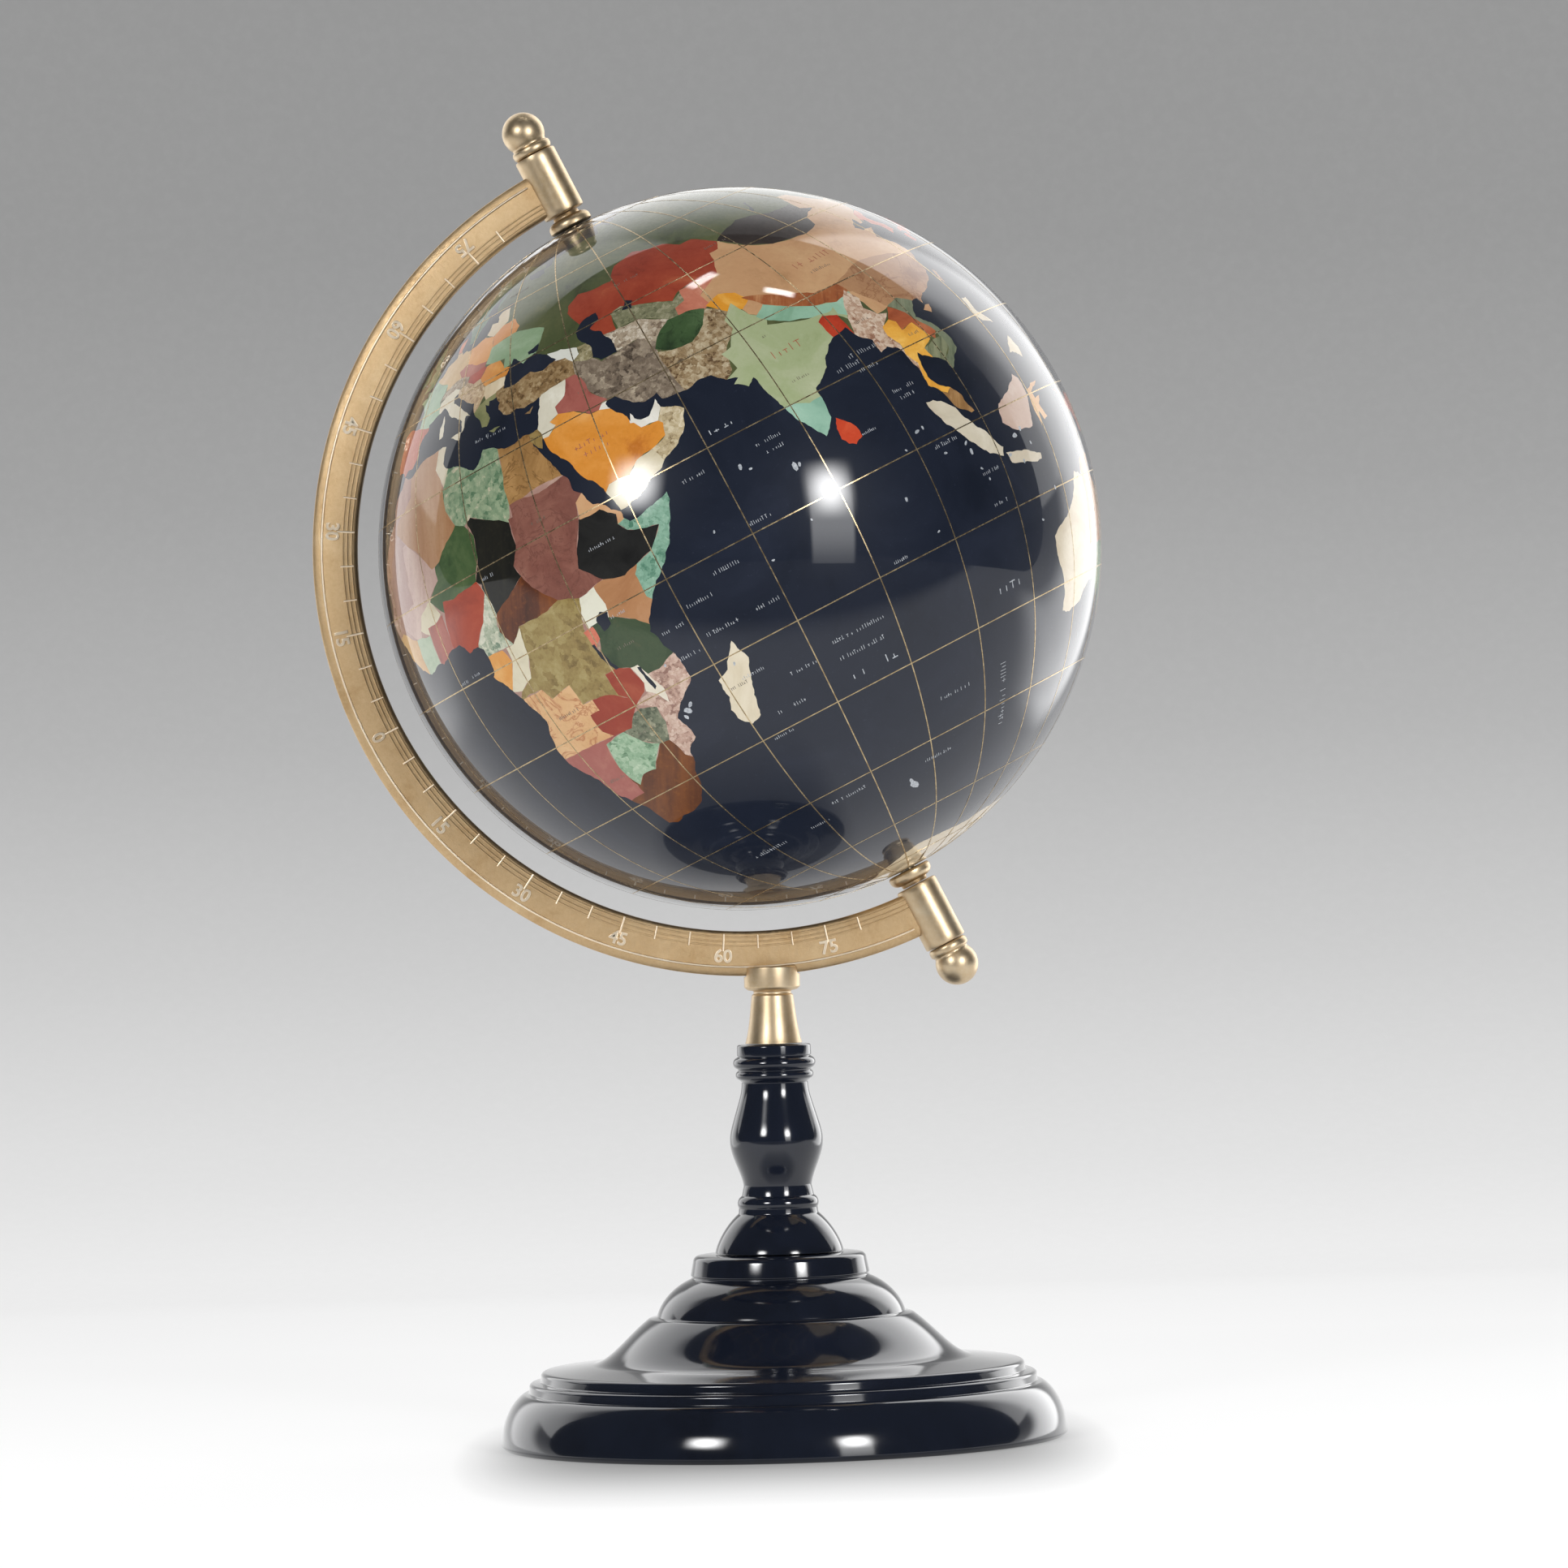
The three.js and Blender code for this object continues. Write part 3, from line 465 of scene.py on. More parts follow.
COUNTRY = [
    # land, stone piece, outline; painted in this order
    ("eurasia", "norway", "4,57 7.5,57.7 11,58.9 12.3,62 14,65 18,68.3 21,69.2 26,69.9 29,69 32,71.5 18,71.5 8,66"),
    ("eurasia", "sweden", "11,58.9 12.3,62 14,65 18,68.3 21,69 24.2,65.8 24,64 17.5,56 14,54.9 12,55.2"),
    ("eurasia", "france", "-5.5,49 1.7,51.2 4.5,49.8 8.1,49 7.6,47.6 6.2,46.2 7.6,43.6 5,42.8 3.2,42.4 -1.8,43.2 -2.5,45.5"),
    ("eurasia", "iberia", "-10.5,44.5 -1.7,43.5 -1.7,43.2 3.3,42.4 4,41 0,35.6 -11,35.6"),
    ("eurasia", "germany", "1.6,51.1 4,53.8 8.5,54.6 11.3,54.6 14.4,54.2 14.9,51 12.3,50.2 13.6,48.7 8,47.6 7.9,49 4.4,49.9"),
    ("eurasia", "denmark", "7.5,54.9 7.8,58 11.2,58 11.2,54.6 9,54.8"),
    ("eurasia", "italy", "6.8,44 6.8,45.8 8.5,46.4 12.3,47 13.8,46.5 13.7,45.3 19.2,40 16,37.3 11,41 8.5,43.6"),
    ("eurasia", "alpine", "6.2,46.2 7.6,47.6 8.2,47.7 13.2,48.6 17,48.8 16.6,46.9 13.8,46.5 12.3,47 8.5,46.4"),
    ("eurasia", "poland", "14.4,54.2 19.5,55.2 23.5,54.1 24,51 22.6,49.2 18.8,49.5 14.9,51"),
    ("eurasia", "czech", "12.3,50.2 14.9,51 18.8,49.6 22.5,49.2 22,48.3 17,47.9 13.6,48.7"),
    ("eurasia", "baltic", "20.6,55.3 20.8,58.5 23.3,59.6 28,59.7 28.2,56 26.6,55.4 23.5,54.1 22.7,54.4"),
    ("eurasia", "belarus", "23.5,54 26.6,55.5 30.8,55.7 32.6,53.3 31.5,52.1 23.7,51.6"),
    ("eurasia", "hungary", "16.6,46.9 17,47.9 22,48.3 22.8,47.9 21,46.2 18.8,45.9"),
    ("eurasia", "balkans", "13.5,45.2 13.8,46.4 16.6,46.9 18.8,45.9 21,46.2 22.6,44 22.5,42.4 21,41 19,39.5 18,42 15,43.5"),
    ("eurasia", "greece", "19.2,40 21,41 23,41.5 26.4,41.8 26.4,40.3 24,36 20,36"),
    ("eurasia", "romania", "21,46.2 22.8,48 26.7,48.3 28.2,46 30,45.2 29.5,44 27,44.1 22.7,44.1"),
    ("eurasia", "bulgaria", "22.5,42.4 22.7,44.1 27,44.1 29.2,43.8 28.6,42 26.4,41.8 23,41.4"),
    ("eurasia", "ukraine", "22.3,48.6 23.7,51.6 31,52.2 34,51.6 40,49.6 38.4,47 37,45.2 33.5,43.9 30.5,45.7 28.2,45.6 28.4,47.6 25.5,47.9"),
    ("eurasia", "kazakhstan", "46.6,49.9 47.2,51.5 50.5,53.1 55,52.3 59.5,52.1 61.5,54.7 62.5,55.5 69,56.9 73.5,55.3 77,54.9 80,52.5 83.5,52.5 87.3,49.1 85.5,47.1 83,47 82.3,45.3 80.2,42.3 75,42.9 71,42.6 68.5,41.2 66,42.5 61,44.3 58.5,45.5 56,45 55.5,41.3 52.3,41.7 50,44 48.5,46.4"),
    ("eurasia", "uzbekistan", "55.8,45 58.5,45.5 61,44.3 66,42.5 68.5,41.2 71,42.2 73,40.8 70.5,40.2 68,38.7 67.5,37.2 64.5,38.9 60.5,41.2 56,41.3"),
    ("eurasia", "turkmenistan", "52.3,41.7 56,41.4 60.5,41.2 64.5,38.9 66.6,37.4 61.2,35.3 58.5,37.6 54,37.3 51.8,39"),
    ("eurasia", "kyrgyz", "67.5,37.2 68,39.6 70.5,40.2 71,42.6 75,42.9 80.2,42.3 77,40.9 73.8,39.6 75,37.3 71.5,36.8"),
    ("eurasia", "china", "73.8,39.6 77,41 80.2,42.3 82.3,45.3 83,47.1 85.5,47.2 87.5,49 91,45.2 96,42.7 105,41.6 110.5,42.7 112,45 117,46.6 116,47.8 117,49.6 120,52.5 121,53.3 125.5,53 127.5,49.8 131,47.7 135,48.4 133,45 131,43 130.4,42.5 126.5,41.6 124.3,39.9 122,38 126,35 124,28 118,20 112,17 108,21.5 105.5,23.2 102.2,22.4 99.2,22 98.7,24.8 97.5,28.2 92,27.8 88.8,27.9 81.5,30.2 78.8,32 78,35.5 74.5,37"),
    ("eurasia", "china_southeast", "95.1,28.6 98.5,30.4 104.2,31.8 112,31.6 118.2,30.2 123,30 124,26 119,22 113.8,20 106.9,21 101.9,22.8 100.2,25.4 98.8,27.5"),
    ("eurasia", "mongolia", "87.5,49.1 92,50.7 98,52 102.3,51.4 107,50 113,49.7 116.5,49.9 116,47.8 119.5,46.7 112,45 110.5,42.7 105,41.6 96,42.7 91,45.2"),
    ("eurasia", "korea", "124.3,39.9 126.5,41.6 130.6,42.4 132,40 130.5,34 124,33.5 124.3,37"),
    ("eurasia", "iran", "44.6,39.8 48,39.4 48.9,38.4 50.3,37 54,37.2 58.5,37.6 61.2,35.6 60.6,33 60.9,29.9 63.2,27.2 61.6,25.1 61.5,24.4 57,25.2 56.3,26.6 54,25.8 50,28.3 48.5,29.7 47.7,31 46,33 45.4,36 44.2,37.5"),
    ("eurasia", "pakistan", "60.4,33.5 60.7,29.1 61.6,24.6 66.2,24.2 68,23.3 70.1,24.6 71.3,28.2 75.3,31.5 76.2,34.4 72.7,36.9 70.5,34.2 66.9,32.2 63,32.6"),
    ("eurasia", "afghanistan", "60.4,34.2 62.5,36.6 65.4,38.2 69.5,38 72.7,36.9 70.5,34.2 66.9,32.2 63,32.6"),
    ("eurasia", "kashmir", "73.2,37.2 76.9,38.2 79.7,37 80.9,34.7 78.6,33.4 75.8,34.4"),
    ("eurasia", "india", "67.5,23.2 71,24.4 70.8,25.7 70,27.8 72.2,28.2 74.6,31 74.3,33 77.5,35.5 78.8,32 81,30.2 80.2,28.8 84,27.4 88,26.4 88.8,27.9 92,27.8 97.5,28.2 95,26 93.5,23.5 92.3,24.8 89.8,25.6 88.5,25 89,22 88.8,20 80,5 76,6 70,17 67,22"),
    ("eurasia", "india_tip", "72.5,15.5 75.3,15.1 78,13.9 80.9,14.2 82,12 80.5,6.5 75,7"),
    ("eurasia", "nepal", "79.5,31 82.4,32.6 86.4,29.9 90.4,28.1 94.3,27.1 92,26 88,26.4 84,27.6 81,29.4"),
    ("eurasia", "nepal", "93,27.2 97,28.8 98.2,27.6 96.5,25.2 94.3,23.8 92.6,25"),
    ("eurasia", "tibet_edge", "79.9,35.5 83,34.6 87.4,32.2 92.2,30.2 97.3,30.2 98.2,27.9 94.3,27 90.4,28 86.4,29.8 82.4,32.4"),
    ("eurasia", "bangladesh", "88.3,25.2 89.8,25.9 92.3,24.9 92.4,20.8 91,20.8 88.8,21.2"),
    ("eurasia", "myanmar", "92.3,20.6 93.5,23.5 95,26 97.5,28.3 98.7,25.8 97.7,24 99.2,22 101,21.5 98,19.5 97.6,18 98.6,16 98.2,14 99.2,12 98.9,9.9 96,9 92,14"),
    ("eurasia", "vietnam", "102.2,22.5 105.5,23.2 108,21.7 111,18 110.5,12 107,8 104.3,8.4 104.8,10.4 107.5,12.3 107.3,15.4 105.2,18.6 104.5,20.2"),
    ("eurasia", "thailand", "97.6,18 98,19.7 100.2,20.4 101.2,19.5 101,17.8 104,18.3 105.5,15 102.4,13.6 102.9,11.4 100.5,12.3 100,9 102.2,6.3 101,5.7 100,6.3 97.8,7.5 98.6,10 99.2,12 98.2,14 98.6,16"),
    ("eurasia", "laos", "100.2,20.4 102.2,22.4 104.5,20.2 105.2,18.6 107.3,15.4 106,14.2 105.5,15 104,18.3 101,17.8 101.2,19.5"),
    ("eurasia", "cambodia", "102.4,13.6 105.5,14.3 107.5,14.3 107.5,12.3 104.8,10.4 102.8,10.6"),
    ("eurasia", "malaya", "99.6,6.4 101,5.7 102.2,6.3 104.8,4 104.8,0.6 102.6,0.6 99.6,4"),
    ("eurasia", "turkey", "25.6,40 26,41.9 28,42.2 31,42.5 41.5,42.5 41.5,41.5 43.5,41.1 44.8,39.7 44.5,37.2 42.3,37.2 36.7,36.8 36,35.9 30,35.5 25.6,37"),
    ("eurasia", "caucasus", "39.7,43.7 43,43.2 46.5,41.9 46.5,40.5 44.8,39.7 43.5,41.1 41.3,41.5"),
    ("eurasia", "azerbaijan", "46.5,41.9 48.6,41.8 50.6,40.3 48.9,38.4 46.5,38.9 44.8,39.7 46.5,40.5"),
    ("eurasia", "iraq", "42.3,37.2 44.5,37.2 45.4,36 46,33 47.7,31 48.7,30 47.7,29.8 46.5,29.1 44.7,29.2 42,31.1 39,32 38.8,33.4 41.2,34.5"),
    ("eurasia", "levant", "35.9,36.2 36.7,36.8 42.3,37.2 41.2,34.5 38.8,33.4 39,32 37,31.4 38,30.4 36.1,29.2 34.8,29.2 33.5,31.3 34.5,34"),
    ("eurasia", "arabia", "34.6,29.3 36.1,29.2 38,30.4 37,31.4 39,32 42,31.1 44.7,29.2 46.5,29.1 48.8,28.4 50.7,26.5 51.2,24.3 52,23 55,22.7 55.6,22 55,20 52,19 49.1,18.6 47,17 43.3,17.2 42.3,16.2 40,17 35,25"),
    ("eurasia", "kuwait", "46.5,29.1 47.7,30.1 48.9,30 48.8,28.3"),
    ("eurasia", "gulf_coast", "50.6,24.5 50.7,26.6 51.9,26.2 52,24.6 54,24.6 56.6,26.7 56.4,24.5 55,22.7 52,23 51.2,24.3"),
    ("eurasia", "oman", "52,19 55,20 55.6,22 55,22.7 56.4,24.6 61,24 60.5,20 55,15.6 53.1,16.4"),
    ("eurasia", "yemen", "42.3,16.3 43.3,17.2 47,17 49.1,18.6 52,19 53.1,16.4 52.5,14 45,11.5 42.3,12.2"),
    ("africa", "morocco", "-18,20.8 -13,21.3 -8.7,27.3 -8.7,28.7 -5,30.2 -2,32 -1.8,36.5 -8,36.5 -16,29"),
    ("africa", "algeria", "-8.7,27.3 -8.7,28.7 -5,30.2 -2,32 -1.9,38 8.6,38 8.3,36.5 7.5,34 9,32.1 9.6,30 9.9,26.5 11.9,23.5 5.5,19.3 3.2,19 1.1,21.1 -4.8,25"),
    ("africa", "tunisia", "8.5,38 8.3,36.5 7.5,34 9,32.1 10,30.3 11.6,33 12,38"),
    ("africa", "mauritania", "-18,20.9 -13,21.3 -13,23.2 -8.7,27.2 -5,25 -6.3,21 -5.6,15.6 -12,15 -17.5,16.2"),
    ("africa", "mali", "-12,14.9 -5.5,15.6 -6.4,24.8 -4.8,25 1.1,21.1 3.2,19 4.2,19.1 4.2,16.9 0.3,14.9 -4,13.2 -6,10.2 -8,10.3 -11.5,12.4"),
    ("africa", "guinea_coast", "-18,10.8 -13.5,12.3 -8.2,10.2 -8.4,7.4 -7.6,3.8 -14,5"),
    ("africa", "ivory", "-8.4,7.4 -8.2,10.2 -6,10.2 -2.8,9.8 -2.8,4 -7.8,3.8"),
    ("africa", "ghana", "-2.8,9.8 -2.8,11 0.2,11.1 2.7,11.8 2.7,5.6 -2.9,4"),
    ("africa", "burkina", "-5.5,11.2 -4,13.2 0.3,14.9 2.3,12 0.2,11.1 -2.8,11 -2.8,9.8"),
    ("africa", "libya", "9.6,30 11.5,33 11.5,34.5 25.1,34 25,31.6 25,22 24,19.5 16,23.4 14.2,22.6 11.9,23.5 9.9,26.5"),
    ("africa", "egypt", "25,31.6 25,34 34.4,32 35.2,29.5 35.9,24 37.5,22 25,22"),
    ("sinai", "sinai", "31,27 31,32 36,32 36,27"),
    ("africa", "sudan", "25,22 37.5,22 39,18.2 36.9,17 36.3,14.5 34.1,10.6 33,7.8 35.9,4.6 31,3.6 27.4,5 24,8.7 22.9,11 22.2,13 24,15.7 24,20 25,20"),
    ("africa", "niger", "11.9,23.5 14.2,22.6 15.9,20.4 15.5,16.9 13.6,13.7 7,13 4,13.5 3.6,11.8 0.3,14.5 4.2,16.9 4.2,19.1 5.8,19.5"),
    ("africa", "chad", "24,19.5 24,15.7 22.2,13 22.9,11 19,9 15.4,7.6 14,10 14.6,12.8 13.6,13.7 15.5,16.9 15.9,20.4 14.9,22.9 16,23.4"),
    ("africa", "nigeria", "3.6,11.8 4,13.5 7,13 13.6,13.7 14.6,11.5 12,7.5 9,5 8.5,3.5 4,4 2.6,6 2.7,8"),
    ("africa", "cameroon", "8.3,4 9,5 12,7.5 14.6,11.5 14.2,12.9 15.4,7.6 14.5,6 16.1,2.2 9.4,2.2"),
    ("africa", "central_africa", "15.4,7.6 19,9 22.9,11 24,8.7 27.4,5 22.5,4.1 18.6,4.3 16.1,2.2 14.5,5"),
    ("africa", "ethiopia", "36.3,14.5 38,14.9 40.2,14.4 42.4,12.5 42,11 43,9.5 44,9 47.9,8 45,5 42,4.2 39.5,3.5 36,4.5 35,5.5 33,7.8 34.1,10.6"),
    ("africa", "eritrea", "36.9,17.1 39,18.4 44,12.4 43.2,11.2 42,11 42.4,12.5 40.2,14.4 36.5,14.4"),
    ("africa", "somalia", "43.2,11.3 42,11 43,9.5 44,9 47.9,8 45,5 42,4.2 41,2.9 41,-0.9 41.6,-2.4 53,4 53,13 44,12"),
    ("africa", "kenya", "34,4.2 36,4.5 39.5,3.5 42,4.2 41,2.9 41,-0.9 42,-2.2 39.6,-5.2 37.7,-3.3 34,-1 34.3,1"),
    ("africa", "uganda", "31,3.7 34,4.2 34.5,1 34,-1 30,-1.4 29.8,0.8"),
    ("africa", "tanzania", "30.4,-1 34,-1 37.7,-3.1 39.4,-4.9 41.5,-6 41.5,-10.6 37,-11.6 34.8,-11.5 32.9,-9.4 30.8,-8.4 29.5,-6 30.8,-3.3"),
    ("africa", "congo_basin", "16.1,2.2 18.6,4.3 22.5,4.1 27.4,5 31,3.7 29.8,0.8 29.2,-1.5 29.4,-4.4 29.5,-6 30.8,-8.4 28.5,-8.5 28.5,-12.3 29.8,-13.4 27.2,-11.6 24,-11 22,-11 21.8,-7.3 17.5,-8 16.6,-5.9 11.6,-5.9 13,-4.6 16,-3.5 17.7,-0.5 18,2"),
    ("africa", "rwanda", "28.9,-1.3 30.8,-1.1 30.9,-3.3 29.3,-4.5"),
    ("africa", "congo", "10.8,-4.1 13,-4.7 16,-3.6 17.7,-0.5 18.2,2.6 18.6,4.1 16.1,2.3 14.3,2.3 14.2,0 12.5,-2.2"),
    ("africa", "gabon", "9,2.3 13.3,2.3 14.2,0 12.5,-2.2 11,-4.1 8,-2"),
    ("africa", "angola", "11.6,-5.9 16.6,-5.9 17.5,-8 21.8,-7.3 22,-11 24,-11 24,-13 22,-13 22,-16.2 23.3,-17.6 18.5,-17.4 14,-17.4 10,-17.2 10,-8"),
    ("africa", "zambia", "24,-13 24,-11 27.2,-11.6 29.8,-13.4 28.5,-12.3 28.5,-8.5 30.8,-8.4 32.9,-9.4 33.5,-12.5 32.7,-13.7 30.2,-15 28.9,-16 27,-17.9 25.2,-17.8 23.3,-17.6 22,-16.2 22,-13"),
    ("africa", "mozambique", "40.4,-10.4 42,-10.5 42,-16 36.5,-26.9 32,-26.9 31.9,-25.8 31.3,-22.4 32.8,-19.5 33,-16.7 30.2,-15 33.2,-14 34.5,-14.5 35.2,-17 35.9,-15.5 34.8,-11.5 37,-11.6"),
    ("africa", "malawi", "32.9,-9.4 34.2,-9.5 34.9,-11.5 35.9,-14.6 35.3,-17 34.4,-15 33,-13.8 33.5,-12.5"),
    ("africa", "zimbabwe", "25.2,-17.8 27,-17.9 28.9,-16 30.4,-15.7 33,-16.7 32.8,-19.5 31.3,-22.4 29.4,-22.2 27,-20.5"),
    ("africa", "namibia", "10,-17.2 14,-17.4 18.5,-17.4 23.3,-17.6 25.2,-17.8 21,-18.3 20,-22 20,-28.4 16.5,-28.6 13,-28"),
    ("africa", "botswana", "20,-22 21,-18.3 23.3,-17.9 25.2,-17.8 27,-20.5 29.4,-22.2 26.5,-24.6 25.5,-25.7 22.8,-25.5 20.7,-26.9 20,-24.8"),
    ("africa", "south_africa", "16.3,-28.6 20,-28.4 20,-24.8 20.7,-26.9 22.8,-25.5 25.5,-25.7 26.5,-24.6 29.4,-22.2 31.3,-22.4 31.9,-25.8 32.9,-26.9 34.5,-27 30,-38 15,-38 14,-29"),
    ("namerica", "alaska", "-170,52 -141,59.5 -141,72 -170,72"),
    ("namerica", "alaska_coast", "-141,60.3 -137,58.9 -133,56.5 -130.2,55.5 -130,54.2 -141,54"),
    ("namerica", "usa", "-128,48.6 -123,49 -95,49 -89.5,48 -84.5,46.5 -82.5,43 -79,43.2 -75,45 -71.3,45.1 -69.3,47.4 -67.7,45.7 -66,44.5 -70,40 -78,24 -83,23.5 -97,25.8 -99.3,26.6 -103.2,29.2 -106.5,31.8 -111,31.3 -114.8,32.6 -118,32.4 -127,38"),
    ("namerica", "usa_west", "-128,48.6 -117,49 -114,45.7 -111,44.6 -109,41 -109,31.3 -111,31.3 -114.8,32.6 -118,32.4 -127,38"),
    ("namerica", "mexico", "-118,32.4 -114.8,32.6 -111,31.3 -106.5,31.8 -103.2,29.2 -99.3,26.6 -97,25.8 -95,22 -86,22.3 -87.5,18 -89.2,17.8 -92.2,14.3 -106,14.5 -119,26"),
    ("namerica", "central_america", "-92.2,14.3 -89.2,17.8 -87.5,18.2 -82,16 -82,10 -77.2,9 -77,6.5 -93,11"),
    ("samerica", "colombia", "-79.5,2 -75,13 -71.4,12.6 -72.5,9 -70,7 -67.5,6.2 -67,1.2 -70,-4.2 -75,0 -78.8,1.2"),
    ("samerica", "venezuela", "-71.4,12.6 -72.5,9 -70,7 -67.5,6.2 -67,1.2 -63.5,2.2 -64.5,4 -60.7,5.2 -59.8,8.4 -60,12"),
    ("samerica", "guianas", "-59.8,8.6 -60.7,5.2 -58.5,1.5 -54.5,2.3 -51.4,4.2 -55,7.5"),
    ("samerica", "peru", "-82,-3.3 -75.2,-0.1 -70,-4.2 -72.8,-7.5 -69.5,-11 -69,-16.5 -70.3,-18.4 -77,-16 -83,-6"),
    ("samerica", "ecuador", "-82,1.5 -78.8,1.3 -75.2,-0.1 -78.5,-3.5 -80.3,-4.3 -82,-3.3"),
    ("samerica", "bolivia", "-69.5,-11 -65.3,-9.8 -62,-13 -58.3,-16.5 -57.6,-18 -62.5,-22 -67.8,-22.8 -69,-17.5 -69,-16.5"),
    ("samerica", "paraguay", "-62.5,-22 -59,-19.4 -58,-22 -54.4,-24 -56,-27.3 -58.6,-27.2"),
    ("samerica", "chile", "-70.3,-18.4 -69,-17.5 -67.8,-22.8 -69.5,-28 -70.3,-34 -71.5,-40 -71.8,-46 -72.4,-51 -68.5,-52.5 -68.5,-56 -78,-56 -77,-40 -73,-18.4"),
    ("samerica", "argentina", "-67.8,-22.8 -62.5,-22 -58.6,-27.2 -56,-27.3 -53.8,-27.2 -57.6,-30.2 -58.4,-34 -55,-40 -62,-56 -68.5,-56 -68.5,-52.5 -72.4,-51 -71.8,-46 -71.5,-40 -70.3,-34 -69.5,-28"),
    ("samerica", "uruguay", "-57.6,-30.2 -53.4,-33.7 -52,-36 -58.4,-34.2"),
    ("australia", "australia_west", "112,-10 129,-10 129,-40 112,-40"),
    ("australia", "australia_north", "129,-10 138,-10 138,-26 129,-26"),
    ("australia", "australia_south", "129,-26 141,-26 141,-40 129,-40"),
    ("australia", "australia_east", "138,-9 156,-9 156,-28.5 141,-29 141,-26 138,-26"),
    ("antarctica", "antarctica_east", "-10,-60 100,-60 100,-88 -10,-88"),
    ("new_guinea", "new_guinea_east", "141,-2 152,-2 152,-12 141,-12"),
]

# what is left of each land when its countries are taken out
REMAINDER = {"eurasia": "russia", "africa": "west_africa", "namerica": "canada", "samerica": "brazil",
             "australia": "australia_inland"}
